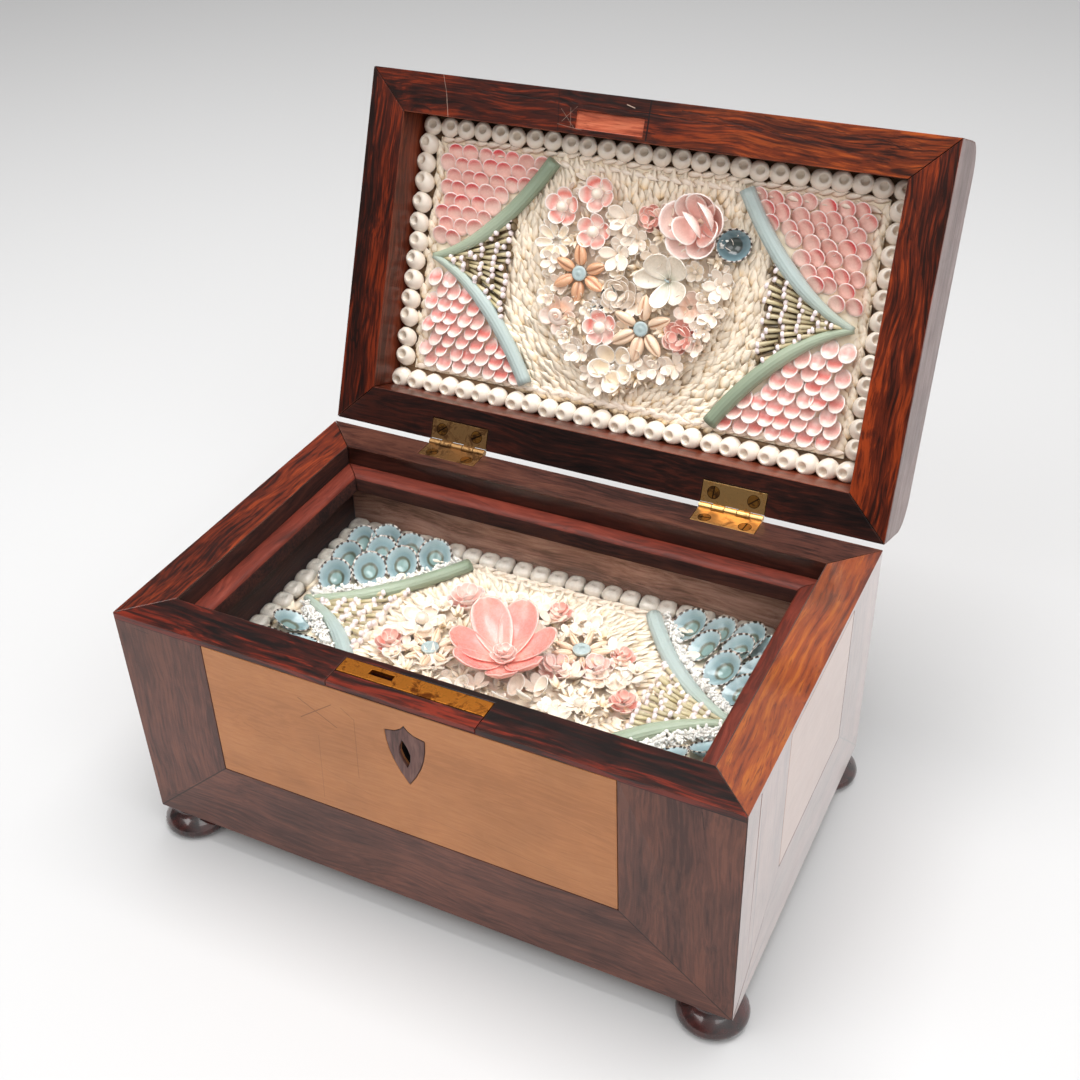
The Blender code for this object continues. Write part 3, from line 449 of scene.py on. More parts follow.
def dressCaseWalls():
    tones = woodTones
    rim = between("Z", caseWall["stripLow"], 1.0)
    # The walls of the keyhole, painted nearly black as the shade inside the hole.
    keyholeShade = both(both(between("X", -0.006, 0.008), between("Z", 0.09, 0.12)),
                   between("Y", -0.1405, -0.1235))
    behind = between("Y", -1.0, 0.0219)
    sideRim = between("Z", caseWall["rim"], 1.0)
    glare = {"Coat Weight": 0.7, "Coat IOR": 1.8, "Sheen Weight": 0.6, "Sheen Roughness": 0.4,
             "Sheen Tint": (1.0, 0.96, 0.95, 1.0)}
    for side, offset, look, regions, keep, shine, lines in (
            ("front", (0.1, 0.2, 0.0), "front", (
                (stiles("X", -0.0023, 0.0991, 0.86), "z", "front"), (rim, "x", "rimFront"),
                (between("Y", -0.1235, 1.0), "x", "inside"), (keyholeShade, "x", "keyholeShade")), (1, 0, 1), {}, (
                ((-101.4, -142.2, 57.2), (-148.2, -141.6, 14.0), 0.4, 0.4, 0.8),
                ((96.8, -142.2, 57.2), (148.2, -141.6, 14.0), 0.4, 0.4, 0.8),
                ((-150.0, -143.4, 130.8), (150.0, -143.4, 130.8), 0.3, 0.5, 0.6),
                ((-131.0, -143.0, 128.0), (-139.0, -143.0, 128.6), 0.25, 0.3, 0.6),
                ((132.0, -143.0, 129.0), (133.0, -142.8, 120.0), 0.3, 0.5, 0.7))),
            ("back", (0.7, 0.1, 0.3), "front", (
                (rim, "x", "rimBack"), (behind, "x", "inside"),
                # Paler band under the glass: dust with a painted glass reflection.
                (both(behind, between("Z", 0.078, 0.1135)), "x", "dustAndReflection")), (1, 1, 1), {}, ()),
            ("left", (-0.3, 0.4, 0.2), "front", (
                (stiles("Y", -0.0473, 0.0435, 0.85), "z", "front"), (sideRim, "y", "rimLeftWithSheen"),
                (between("X", -0.13, 1.0), "y", "inside")), (0, 1, 1), {}, (
                ((-148.8, -91.0, 56.0), (-148.2, -141.4, 14.0), 0.4, 0.3, 0.8),
                ((-148.8, -3.8, 56.0), (-148.2, 40.0, 14.0), 0.4, 0.3, 0.8))),
            # The right wall and its stiles are paler: faded wood with a painted reflection in the colour.
            ("right", (0.3, 0.4, 0.2), "side", (
                (stiles("Y", -0.0473, 0.0435, 0.85), "z", "side"), (sideRim, "y", "rimRightWithSheen"),
                (between("X", -1.0, 0.13), "y", "inside")), (0, 1, 1), glare, (
                ((149.8, -125.2, 122.0), (149.4, -124.0, 96.0), 0.5, 0.5, 0.9),
                ((149.4, -124.0, 96.0), (149.0, -123.2, 69.0), 1.0, 0.5, 1.0),
                ((149.0, -123.2, 69.0), (148.3, -123.4, 20.0), 0.6, 0.5, 0.9),
                ((149.2, -92.2, 84.0), (148.8, -89.8, 55.0), 0.8, 0.5, 1.0),
                ((148.8, -87.4, 27.0), (148.4, -105.0, 24.0), 0.5, 0.4, 0.7),
                ((148.6, -105.0, 24.0), (148.3, -125.0, 20.5), 0.9, 0.4, 0.9),
                ((148.8, -91.0, 56.0), (148.2, -141.4, 14.0), 0.5, 0.3, 0.7),
                ((150.0, -6.4, 131.5), (149.7, -6.1, 114.5), 0.8, 0.4, 0.9),
                ((149.7, -6.1, 114.5), (149.2, -6.9, 82.0), 0.5, 0.4, 0.7),
                ((148.9, -3.0, 56.0), (148.2, 38.0, 16.0), 0.5, 0.3, 0.8),
                ((149.9, 19.3, 133.0), (149.6, 18.9, 121.0), 0.6, 0.3, 0.8)))):
        dress("case_" + side, woodMaterial(
            "rosewood" + side.capitalize(), runOf(side), tones[look], offset, lines,
            [(mask, run, tones[tone]) for mask, run, tone in regions], keep=keep, **shine))
    y = -141.9
    scratches = (
        ((-52.0, y, 108.0), (-35.0, y, 121.0), 0.3, 0.1, 0.45),
        ((-52.0, y, 119.0), (-33.5, y, 108.5), 0.3, 0.1, 0.45),
        ((-30.0, y, 121.0), (-24.0, y, 116.5), 0.2, 0.1, 0.4),
        ((-24.0, y, 116.5), (-25.5, y, 82.0), 0.2, 0.2, 0.3),
        ((-44.0, y, 100.0), (-46.0, y, 62.0), 0.18, 0.2, 0.25),
        ((-85.0, y, 92.0), (-20.0, y, 74.0), 0.16, 0.3, 0.22),
        ((10.0, y, 72.0), (80.0, y, 66.0), 0.16, 0.3, 0.22),
        ((40.0, y, 104.0), (88.0, y, 96.0), 0.14, 0.3, 0.2))
    for node, name, run, tone, offset, wear, other in (
            ("panel_front", "mapleFront", "x", "maple", (0.4, 0.2, 0.1), 0.5,
             {"lines": scratches, "keep": (1, 0, 1), "Roughness": 0.42}),
            ("panel_left", "mapleLeft", "y", "maple", (0.1, 0.6, 0.3), 0.5, {"Roughness": 0.42}),
            # The right panel is paler: faded maple with a painted reflection in the colour.
            ("panel_right", "mapleRight", "y", "mapleFadedAndSheen", (0.1, 0.6, 0.7), 0.5, glare),
            ("lid_top_panel", "mapleTop", "x", "maple", (0.9, 0.5, 0.1), 0.5, {"Roughness": 0.42}),
            ("rim_patch", "rosewoodPatch", "x", "rimFront", (0.5, 0.3, 0.9), 0.3, {}),
            ("escutcheon", "rosewoodShield", "z", "shield", (0.2, 0.0, 0.4), 0.9, {})):
        dress(node, woodMaterial(name, run, tones[tone], offset, wear=wear, **other))
        easeEdges(node, 0.15 if node in ("escutcheon", "rim_patch") else 0.3)
    pine = woodMaterial("pineBoards", "x", tones["pine"], Roughness=0.6)
    for node in ("case_bottom", "case_picture_board", "lid_picture_board"):
        dress(node, pine)
    for node in ("case_front", "case_back", "case_left", "case_right", "case_bottom"):
        easeEdges(node, 0.3)
    shadow = ((between("Z", -1.0, 0.1222), "x", tones["inside"]),)
    for side in sides:
        look = woodMaterial("lipWood" + side.capitalize(), runOf(side), tones["lip"], (0.3, 0.1, 0.7), (),
                            shadow, 0.15, **{"Roughness": 0.55, "Coat Weight": 0.0})
        smoothCopy("lip_" + side, "lip_strip_" + side, "case", look, 0.2)


# The marks on the lid's front rail: x and the distance from the hinge edge, twice, then the line's look.
railMarks = (
    (-109.1, 186.0, -106.0, 176.0, 0.2, 0.5, 0.4, "pale"),
    (-106.0, 176.0, -103.8, 165.0, 0.2, 0.5, 0.6, "pale"),
    (-44.5, 186.0, -42.5, 165.0, 0.3, 0.6, 0.7), (4.0, 186.0, 3.8, 166.0, 0.5, 0.5, 1.0),
    (-42.0, 176.0, -34.0, 167.5, 0.1, 0.3, 0.5, "pale"), (-41.0, 170.0, -33.5, 178.0, 0.1, 0.3, 0.5, "pale"),
    (-37.0, 177.0, -36.0, 168.0, 0.1, 0.3, 0.45, "pale"),
    (-43.0, 168.5, -30.0, 167.0, 0.12, 0.3, 0.45, "pale"),
    (-8.0, 181.5, -4.0, 180.5, 0.3, 0.4, 0.9, "pale"), (-92.0, 180.0, 60.0, 177.5, 0.5, 2.5, 0.55),
    (20.0, 182.0, 120.0, 172.0, 0.6, 3.0, 0.6), (60.0, 184.0, 140.0, 178.0, 0.5, 2.5, 0.5))


def dressLidRails():
    tones = woodTones
    middle, face = 92.6, 26.0
    joints = [((a, b - middle, face), (c, d - middle, face), *rest) for a, b, c, d, *rest in railMarks]
    scar = both(between("X", -0.0337, 0.0020), both(between("Y", 0.0747, 0.0836), between("Z", 0.0, 0.0256)))
    for side, base, shift, axis, low, high in (
            ("front", "lidRail", 0.35, "Y", -1.0, 0.0724), ("back", "lidLow", 0.8, "Y", -0.0724, 1.0),
            ("left", "lidRail", 0.35, "X", -0.1297, 1.0), ("right", "lidEast", 0.8, "X", -1.0, 0.1297)):
        run = runOf(side)
        regions = [(between(axis, low, high), run, tones["lidInside"])]
        if side == "front":
            regions.insert(0, (growing("X", -0.03, 0.15), "x", tones["lidTop"]))
            regions.append((scar, "x", tones["scar"]))
        if side == "right":
            # The right end of the lid is painted pale: faded wood with a painted reflection.
            regions.append((between("X", 0.1497, 1.0), run, tones["lidEndFadedAndSheen"]))
        look = woodMaterial("rosewoodLid" + side.capitalize(), run, tones[base], (0.2, 0.9, shift),
                            joints if side == "front" else (), regions, picture=pictures["lid"],
                            **{"Coat Weight": 0.05, "Specular IOR Level": 0.2})
        smoothCopy("lid_" + side, "lid_rail_" + side, "lid", look, 0.3)
    print("wood dressed")


# brass, glass and feet

def brassMaterial(name, clean, stained, amount, roughness):
    made, tree, sockets = newMaterial(name, **{"Metallic": 1.0, "Specular IOR Level": 0.5})
    place = objectPlace(tree)
    fine = noiseOn(place, 900.0, 3.0, 0.6)
    stain = fade(noiseOn(place, 130.0, 6.0, 0.7, 0.6), 0.62 - 0.3 * amount, 0.78 - 0.3 * amount)
    colour = blend(stain, rgb(*clean), rgb(*stained))
    feed(sockets["Base Color"], blend(fade(fine, 0.6, 0.75, 0.0, 0.35), colour, rgb(60, 40, 20)))
    feed(sockets["Roughness"], plus(roughness, times(stain, 0.25)))
    addBump(sockets, fine, 0.15, 0.0001)
    return made


def dressMetal():
    dress("lock_plate", brassMaterial("brassPlate", (214, 134, 52), (96, 50, 18), 0.5, 0.34))
    easeEdges("lock_plate", 0.15)
    tarnished = brassMaterial("brassTarnished", (156, 120, 78), (92, 64, 40), 0.6, 0.4)
    bright = brassMaterial("brassBright", (206, 162, 104), (140, 98, 54), 0.4, 0.28)
    for body in ("case", "lid"):
        for side, material, slot in (("left", tarnished, "old_brass"), ("right", bright, "brass")):
            smoothCopy("hinge_" + body + "_leaf_" + side, "butt_" + body + "_" + side, body, material,
                       0.12, 50)
    print("brass dressed")


def dressGlass():
    made, tree, sockets = newMaterial("clearGlass", **{
        "Transmission Weight": 1.0, "IOR": 1.001, "Coat Weight": 1.0, "Coat IOR": 1.5,
        "Coat Roughness": 0.06, "Alpha": 0.4, "Base Color": (0.98, 0.99, 0.985, 1)})
    smear = noiseOn(objectPlace(tree), 35.0, 4.0, 0.6)
    feed(sockets["Roughness"], fade(smear, 0.35, 0.75, 0.0, 0.03))
    dress("glass_pane", made)


# The walls between rings of points; a ring can be a single point.
def skin(shape, rings, smooth=True):
    for lower, upper in zip(rings, rings[1:]):
        count = max(len(lower), len(upper))
        for i in range(count):
            k = (i + 1) % count
            corners = (lower[i % len(lower)], lower[k % len(lower)], upper[k % len(upper)],
                       upper[i % len(upper)])
            shape.faces.new(list(dict.fromkeys(corners))).smooth = smooth


# A turned bun foot, by radius and height.
foot = {"sides": 48, "profile": (
    (0.0, 0.0), (10.5, 0.0), (12.6, 0.25), (14.6, 1.2), (15.8, 2.7), (16.0, 4.1), (15.4, 6.0), (13.8, 8.2),
    (11.8, 10.0), (10.4, 11.2), (9.9, 12.2), (9.7, 13.7), (0.0, 13.7))}


def turnFeet():
    made, tree, sockets = newMaterial("ebonisedFeet", **{"Coat Weight": 0.8, "Coat Roughness": 0.08})
    place = objectPlace(tree)
    grain = noiseOn(place, 90.0, 5.0, 0.65, 0.8)
    colour = blend(fade(grain, 0.35, 0.7), rgb(22, 8, 8), rgb(70, 22, 16))
    rub = addNode(tree, "ShaderNodeGroup", {"Vector": place, "Radius": 0.001}, node_tree=edgeWear)
    feed(sockets["Base Color"], blend(rub.outputs["Mask"], colour, rgb(96, 44, 30)))
    feed(sockets["Roughness"], fade(noiseOn(place, 200.0), 0.3, 0.7, 0.16, 0.34))
    addBump(sockets, grain, 0.1, 0.0001)
    for corner in ("front_left", "front_right", "back_left", "back_right"):
        low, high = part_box("foot_" + corner)
        x, y = (low[0] + high[0]) / 2, (low[1] + high[1]) / 2
        shape = bmesh.new()
        rings = []
        for radius, height in foot["profile"]:
            turns = [2 * math.pi * i / foot["sides"] for i in range(foot["sides"] if radius else 1)]
            rings.append([shape.verts.new((x + radius * mm * math.cos(a), y + radius * mm * math.sin(a),
                                           height * mm)) for a in turns])
        skin(shape, rings)
        bmesh.ops.recalc_face_normals(shape, faces=shape.faces)
        bun = finishShape(shape, "bun_foot_" + corner, made)
        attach(bun, "case")
        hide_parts("foot_" + corner)
    print("feet turned")


# single shells: each lies along +X from its hinge or point, hollow side up, about 1 long

# A surface from place(u, v), which gives x, y, z and two numbers that the finish reads.
def gridShell(name, rows, columns, place, closed=True, thick=0.0):
    shape = bmesh.new()
    layer = shape.verts.layers.float_vector.new("shell")
    grid = []
    for i in range(rows + 1):
        grid.append([])
        for j in range(columns if closed else columns + 1):
            *where, along, edge = place(i / rows, j / columns)
            vert = shape.verts.new(where)
            vert[layer] = (along, edge, 0.0)
            grid[-1].append(vert)
    for line, following in zip(grid, grid[1:]):
        for j in range(columns):
            k = (j + 1) % len(line)
            shape.faces.new((line[j], following[j], following[k], line[k]))
    bmesh.ops.remove_doubles(shape, verts=shape.verts, dist=0.0005)
    bmesh.ops.recalc_face_normals(shape, faces=shape.faces)
    if thick:
        if sum(face.normal.z * face.calc_area() for face in shape.faces) < 0:
            bmesh.ops.reverse_faces(shape, faces=shape.faces)
        bmesh.ops.solidify(shape, geom=shape.faces[:], thickness=thick)
        bmesh.ops.recalc_face_normals(shape, faces=shape.faces)
    for face in shape.faces:
        face.smooth = True
    return finishShape(shape, name)


# One half of a round bivalve: a shallow cup with its hinge at the origin.
def valve(name, sides=14, rings=4, depth=0.2, thick=0.045, ribs=0, rib=0.0, narrow=0.3, frill=0.0):
    def place(u, v):
        angle = 2 * math.pi * v
        x = 0.5 + 0.5 * u * math.cos(angle)
        y = 0.5 * u * math.sin(angle) * (1 - narrow * (1 - x))
        z = depth * u ** 2.2 - depth + rib * u * math.cos(ribs * math.atan2(y, x + 0.12))
        wave = 1 + frill * math.cos(9 * angle) * u
        return x * wave, y * wave, z, x, u
    return gridShell(name, rings, sides, place, thick=thick)


# A long spoon-shaped shell with a narrow foot.
def petal(name, rows=7, columns=6, cup=0.25, curl=0.2, tip=0.6, thick=0.03, widest=0.6):
    power = math.log(0.5) / math.log(widest)

    def place(u, v):
        half = 0.5 * math.sin(math.pi * min(1.0, 0.03 + 0.965 * u) ** power) ** tip
        across = 2 * v - 1
        z = curl * u * u + cup * across * across * half - cup * half
        return u, half * across, z, u, max(abs(across), (u - 0.75) * 4)
    return gridShell(name, rows, columns, place, closed=False, thick=thick)


# The point a part of the way down a profile.
def follow(profile, part):
    spot = part * (len(profile) - 1)
    first = min(int(spot + 1e-6), len(profile) - 2)
    rest = spot - first
    return [a * (1 - rest) + b * rest for a, b in zip(profile[first], profile[first + 1])]


# A shell turned round its own length, from (along, radius) points.
def lathe(name, profile, sides, upright=False):
    def place(u, v):
        along, radius = follow(profile, u)
        angle = 2 * math.pi * v
        if upright:
            return radius * math.cos(angle), radius * math.sin(angle), along, u, radius
        return along, radius * math.cos(angle), radius * math.sin(angle), along, u
    return gridShell(name, len(profile) - 1, sides, place)


# A small round snail shell seen on its mouth; the square sort is worn down and nearly shut.
def beadShell(name, profile, square=2.0, lean=0.34):
    def place(u, v):
        radius, height = follow(profile, u)
        angle = 2 * math.pi * v
        c, s = math.cos(angle), math.sin(angle)
        swell = (abs(c) ** square + abs(s) ** square) ** (-1 / square)
        if u > 0.5:
            swell = 1 + (swell - 1) * 0.6
        spiral = 1 + 0.12 * (v - 0.5) * (1 if 0.1 < u < 0.6 else 0)
        shift = lean * min(1.0, max(0.0, height - 0.7) / 0.8) if u < 0.65 else lean * (1.3 - 0.45 * u)
        fold = 0.1 * math.cos(2 * angle + 4 * u) * (1 if 0.72 < u < 0.97 and square < 3 else 0)
        return radius * swell * spiral * c + shift, radius * swell * spiral * s, height + fold, u, v
    return gridShell(name, len(profile) - 1, 16, place)


# An egg with a toothed slit along its upper side.
def cowrieShell(name):
    def place(u, v):
        body = math.sin(math.pi * min(max(u, 0.0), 1.0) ** 0.85) ** 0.62
        angle = 2 * math.pi * v
        away = abs((v - 0.25 + 0.5) % 1.0 - 0.5)
        groove = 1 - 0.62 * max(0.0, 1 - away / 0.06) * min(1.0, 4 * body - 0.6 if body > 0.15 else 0.0)
        reach = 0.5 * body * groove
        return u, reach * math.cos(angle), 0.86 * reach * math.sin(angle), away * 2, 0.3
    return gridShell(name, 10, 24, place)


# A bowl with faint radial ribs and a thin wavy rim.
def limpetShell(name):
    def place(u, v):
        angle = 2 * math.pi * v
        ribs = 1 + 0.006 * math.cos(17 * angle) * u
        return u * ribs * math.cos(angle), 0.84 * u * ribs * math.sin(angle), 0.66 * u ** 1.9, u, v
    return gridShell(name, 10, 30, place, thick=0.05)


# A low coiled snail.
def snailShell(name, turns=2.6):
    def place(u, v):
        wind = 2 * math.pi * turns * u
        grow = math.exp(2.6 * (u - 1))
        tube = 0.36 * grow
        angle = 2 * math.pi * v
        reach = 0.62 * grow + tube * math.cos(angle)
        height = 0.62 * (1 - grow) + tube * math.sin(angle) + 0.3
        return reach * math.cos(wind), reach * math.sin(wind), height, u, v
    return gridShell(name, 40, 9, place)


# A knobbly twig of coral: lumps that climb on each other.
def nubShell(name, seed, lumps=5):
    shape = bmesh.new()
    layer = shape.verts.layers.float_vector.new("shell")
    rand = random.Random(seed)
    middle = Vector((0, 0, 0))
    for lump in range(lumps):
        made = bmesh.ops.create_icosphere(shape, subdivisions=1, radius=rand.uniform(0.27, 0.42))
        for vert in made["verts"]:
            vert.co = vert.co * (1 + 0.35 * noise.noise(vert.co * 4 + middle * 9)) + middle
            vert[layer] = (rand.random(), 0.5, 0.0)
        if lump == 2:
            middle = Vector((0, 0, 0.3))
        middle = middle + Vector((rand.uniform(-0.42, 0.42), rand.uniform(-0.42, 0.42), 0.34))
    for face in shape.faces:
        face.smooth = True
    return finishShape(shape, name)


# A slotted screw head is two half discs; the floor of its slot is a thin whole one.
def screwHead(name, halves, sides=14, slot=0.13):
    shape = bmesh.new()
    layer = shape.verts.layers.float_vector.new("shell")

    def slab(points, low, high, ease):
        rings = [[shape.verts.new((x * shrink, y * shrink, height)) for x, y in points]
                 for height, shrink in ((low, 1.0), (high - ease, 1.0), (high, 1.0 - ease))]
        skin(shape, rings, False)
        shape.faces.new(rings[0])
        shape.faces.new(rings[-1])
    start = math.asin(slot)
    for half in halves:
        turns = [start + (math.pi - 2 * start) * i / sides for i in range(sides + 1)]
        slab([(math.cos(a), half * math.sin(a)) for a in turns], 0.1, 0.24, 0.05)
    if not halves:
        turns = [math.pi * i / sides for i in range(2 * sides)]
        slab([(math.cos(a), math.sin(a)) for a in turns], 0.0, 0.08, 0.01)
    for vert in shape.verts:
        vert[layer] = (0.5, 0.5, 0.0)
    bmesh.ops.recalc_face_normals(shape, faces=shape.faces)
    return finishShape(shape, name)


shells = {shell.name: shell for shell in (
    valve("valve"),
    valve("cup", 18, 5, 0.27, 0.035, narrow=0.2),
    valve("chip", 8, 2, 0.2, 0.07),
    valve("scale", 14, 3, 0.17, 0.05, narrow=0.1),
    valve("ribbed", 28, 4, 0.26, 0.05, ribs=16, rib=0.022, narrow=0.45),
    valve("frilled", 26, 4, 0.24, 0.04, narrow=0.3, frill=0.035),
    petal("petal"),
    petal("wide", 12, 8, cup=0.42, curl=0.16, tip=0.42, thick=0.028, widest=0.62),
    petal("spike", 6, 4, cup=0.5, curl=0.1, tip=1.0, thick=0.05, widest=0.35),
    petal("flake", 4, 2, cup=-0.3, curl=0.08, tip=1.15, thick=0.05, widest=0.36),
    lathe("rice", ((0.0, 0.0), (0.06, 0.26), (0.26, 0.48), (0.5, 0.46), (0.78, 0.24), (1.0, 0.0)), 6),
    lathe("quill", ((0.0, 0.0), (0.0, 0.22), (0.5, 0.33), (0.74, 0.38), (0.8, 0.3), (0.84, 0.5),
                    (0.92, 0.56), (0.98, 0.4), (1.0, 0.0)), 8),
    lathe("disc", ((0.0, 0.0), (0.0, 0.94), (0.3, 1.0), (0.42, 0.92), (0.36, 0.6), (0.36, 0.34),
                   (0.42, 0.22), (0.42, 0.0)), 24, upright=True),
    lathe("pearl", ((-1.0, 0.0), (-0.8, 0.6), (-0.3, 0.954), (0.3, 0.954), (0.8, 0.6), (1.0, 0.0)), 12,
          upright=True),
    beadShell("bead", ((0.5, 0.0), (0.84, 0.24), (1.0, 0.66), (0.99, 1.02), (0.88, 1.3), (0.68, 1.52),
                       (0.52, 1.6), (0.43, 1.57), (0.37, 1.42), (0.25, 1.26), (0.0, 1.2))),
    beadShell("squareBead", ((0.7, 0.0), (0.94, 0.25), (1.0, 0.66), (0.98, 1.0), (0.84, 1.26), (0.6, 1.4),
                             (0.42, 1.43), (0.32, 1.4), (0.24, 1.33), (0.12, 1.3), (0.0, 1.3)), 3.6, 0.08),
    cowrieShell("cowrie"), limpetShell("limpet"), snailShell("snail"), nubShell("nubA", 3),
    nubShell("nubB", 8), screwHead("screw", (1, -1)), screwHead("slotFloor", ()))}


# laying shells

# Sets a shell on each guide point, turned and sized by the point, with a little disorder.
def buildLayTree():
    tree, start, end = newGroup("layShells", {
        "Geometry": "Geometry", "Shell": "Object", "Turn Disorder": 0.05, "Size Disorder": 0.06, "Seed": 1,
        "Finish": "Material"}, {"Geometry": "Geometry"}, "GeometryNodeTree")
    source = addNode(tree, "GeometryNodeObjectInfo", {"Object": start["Shell"]})
    aim, size = [addNode(tree, "GeometryNodeInputNamedAttribute", {"Name": label},
                         data_type="FLOAT_VECTOR").outputs["Attribute"] for label in ("aim", "size")]
    turn = addNode(tree, "FunctionNodeRandomValue", {
        "Min": (-1, -1, -1), "Max": (1, 1, 1), "Seed": start["Seed"]}, data_type="FLOAT_VECTOR")
    turned = vectors("SCALE", turn.outputs["Value"], scale=start["Turn Disorder"])
    grow = addNode(tree, "FunctionNodeRandomValue", {
        2: minus(1.0, start["Size Disorder"]), 3: 1.0, "Seed": start["Seed"]}, data_type="FLOAT")
    laid = addNode(tree, "GeometryNodeInstanceOnPoints", {
        "Points": start["Geometry"], "Instance": source.outputs["Geometry"],
        "Rotation": vectors("ADD", aim, turned), "Scale": vectors("SCALE", size, scale=grow.outputs[1])})
    real = addNode(tree, "GeometryNodeRealizeInstances", {"Geometry": laid.outputs[0]})
    finished = addNode(tree, "GeometryNodeSetMaterial", {"Geometry": real.outputs[0],
                                                         "Material": start["Finish"]})
    feed(end["Geometry"], finished.outputs[0])
    return tree


layTree = buildLayTree()
socketOf = {item.name: item.identifier for item in layTree.interface.items_tree if item.in_out == "INPUT"}


def spot(x, t, h, azimuth=0.0, tilt=0.0, roll=0.0, size=(1.0, 1.0, 1.0), tint=0.5):
    return (x, t, h), (roll, -tilt, azimuth), size if isinstance(size, tuple) else (size,) * 3, tint


# One object with a shell of a kind on every spot, in picture coordinates.
def layShells(kind, spots, finish, turn, grow, seed):
    guide = bpy.data.meshes.new(kind + "Guide")
    guide.from_pydata([[c * mm for c in s[0]] for s in spots], [], [])
    for label, values in (("aim", [math.radians(a) for s in spots for a in s[1]]),
                          ("size", [c * mm for s in spots for c in s[2]])):
        guide.attributes.new(label, "FLOAT_VECTOR", "POINT").data.foreach_set("vector", values)
    guide.attributes.new("tint", "FLOAT", "POINT").data.foreach_set("value", [s[3] for s in spots])
    holder = bpy.data.objects.new(kind + "Guide", guide)
    bpy.context.scene.collection.objects.link(holder)
    modifier = holder.modifiers.new("layShells", "NODES")
    modifier.node_group = layTree
    for label, value in (("Shell", shells[kind]), ("Turn Disorder", float(turn)),
                         ("Size Disorder", float(grow)), ("Seed", seed), ("Finish", finishes[finish])):
        modifier[socketOf[label]] = value
    graph = bpy.context.evaluated_depsgraph_get()
    mesh = bpy.data.meshes.new_from_object(holder.evaluated_get(graph), preserve_all_data_layers=True,
                                           depsgraph=graph)
    bpy.data.objects.remove(holder)
    made = bpy.data.objects.new(kind, mesh)
    bpy.context.scene.collection.objects.link(made)
    return made


# Joins the laid shells into one piece, sets it in its picture, hangs it on its body and hides the frame parts
# it stands for.
def joinPiece(name, parts, body, slot, *nodes):
    piece = parts[0]
    if len(parts) > 1:
        with bpy.context.temp_override(active_object=piece, object=piece, selected_objects=parts,
                                       selected_editable_objects=parts):
            bpy.ops.object.join()
    piece.name = piece.data.name = name
    for label in ("aim", "size"):
        if label in piece.data.attributes:
            piece.data.attributes.remove(piece.data.attributes[label])
    piece.data.transform(pictures[body])
    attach(piece, body)
    if nodes:
        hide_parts(*nodes)
    print(name, sum(len(p.vertices) - 2 for p in piece.data.polygons), "triangles")


# shell finishes

def shellMaterial(name, deep, body, rim, rimStart, middle, reach, vary, roughness, coat, rings=40.0,
                  glow=0.0):
    made, tree, sockets = newMaterial(name + "Finish", **{
        "Coat Weight": coat, "Coat Roughness": 0.12, "Subsurface Weight": glow,
        "Subsurface Radius": (0.0024, 0.0021, 0.0019), "Subsurface Scale": 1.0})
    place = addNode(tree, "ShaderNodeAttribute", attribute_name="shell")
    tint = addNode(tree, "ShaderNodeAttribute", attribute_name="tint")
    tone = addNode(tree, "ShaderNodeGroup", {
        "Place": place.outputs["Vector"], "Tint": tint.outputs["Fac"], "Deep": rgb(*deep),
        "Body": rgb(*body), "Rim": rgb(*rim), "Rim Start": rimStart, "Deep Middle": middle,
        "Deep Reach": reach, "Rings": rings, "Vary": vary}, node_tree=shellTone).outputs
    feed(sockets["Base Color"], tone["Color"])
    sheen = noiseOn(objectPlace(tree), 700.0, 3.0)
    feed(sockets["Roughness"], fade(sheen, 0.3, 0.7, roughness - 0.06, roughness + 0.12))
    addBump(sockets, tone["Height"], 0.15, 0.0001)
    return made


# Blue limpets: pale bowl, a grey-green ring round the middle and dark dashes on the rim.
def limpetMaterial(name, rim, ring, heart, outer):
    made, tree, sockets = newMaterial(name, **{"Roughness": 0.2, "Coat Weight": 0.5, "IOR": 1.5})
    place = addNode(tree, "ShaderNodeAttribute", attribute_name="shell").outputs["Vector"]
    out, turn = coordinate(place, "X"), coordinate(place, "Y")
    cloud = noiseOn(objectPlace(tree), 260.0, 3.0)
    near = plus(out, times(minus(cloud, 0.5), 0.14))
    colour = blend(fade(near, 0.3, 0.4), rgb(*heart), rgb(*ring))
    colour = blend(fade(near, 0.44, 0.56), colour, rgb(*rim))
    colour = blend(fade(near, 0.6, 0.98), colour, rgb(*outer))
    dashes = maths("SINE", plus(times(turn, 113.0), times(cloud, 8.0)))
    dark = times(fade(out, 0.9, 0.94), fade(dashes, -0.2, 0.2))
    colour = blend(fade(out, 0.95, 0.97), colour, rgb(204, 190, 178))
    feed(sockets["Base Color"], blend(dark, colour, rgb(58, 42, 34)))
    addBump(sockets, cloud, 0.15, 0.0003)
    return made


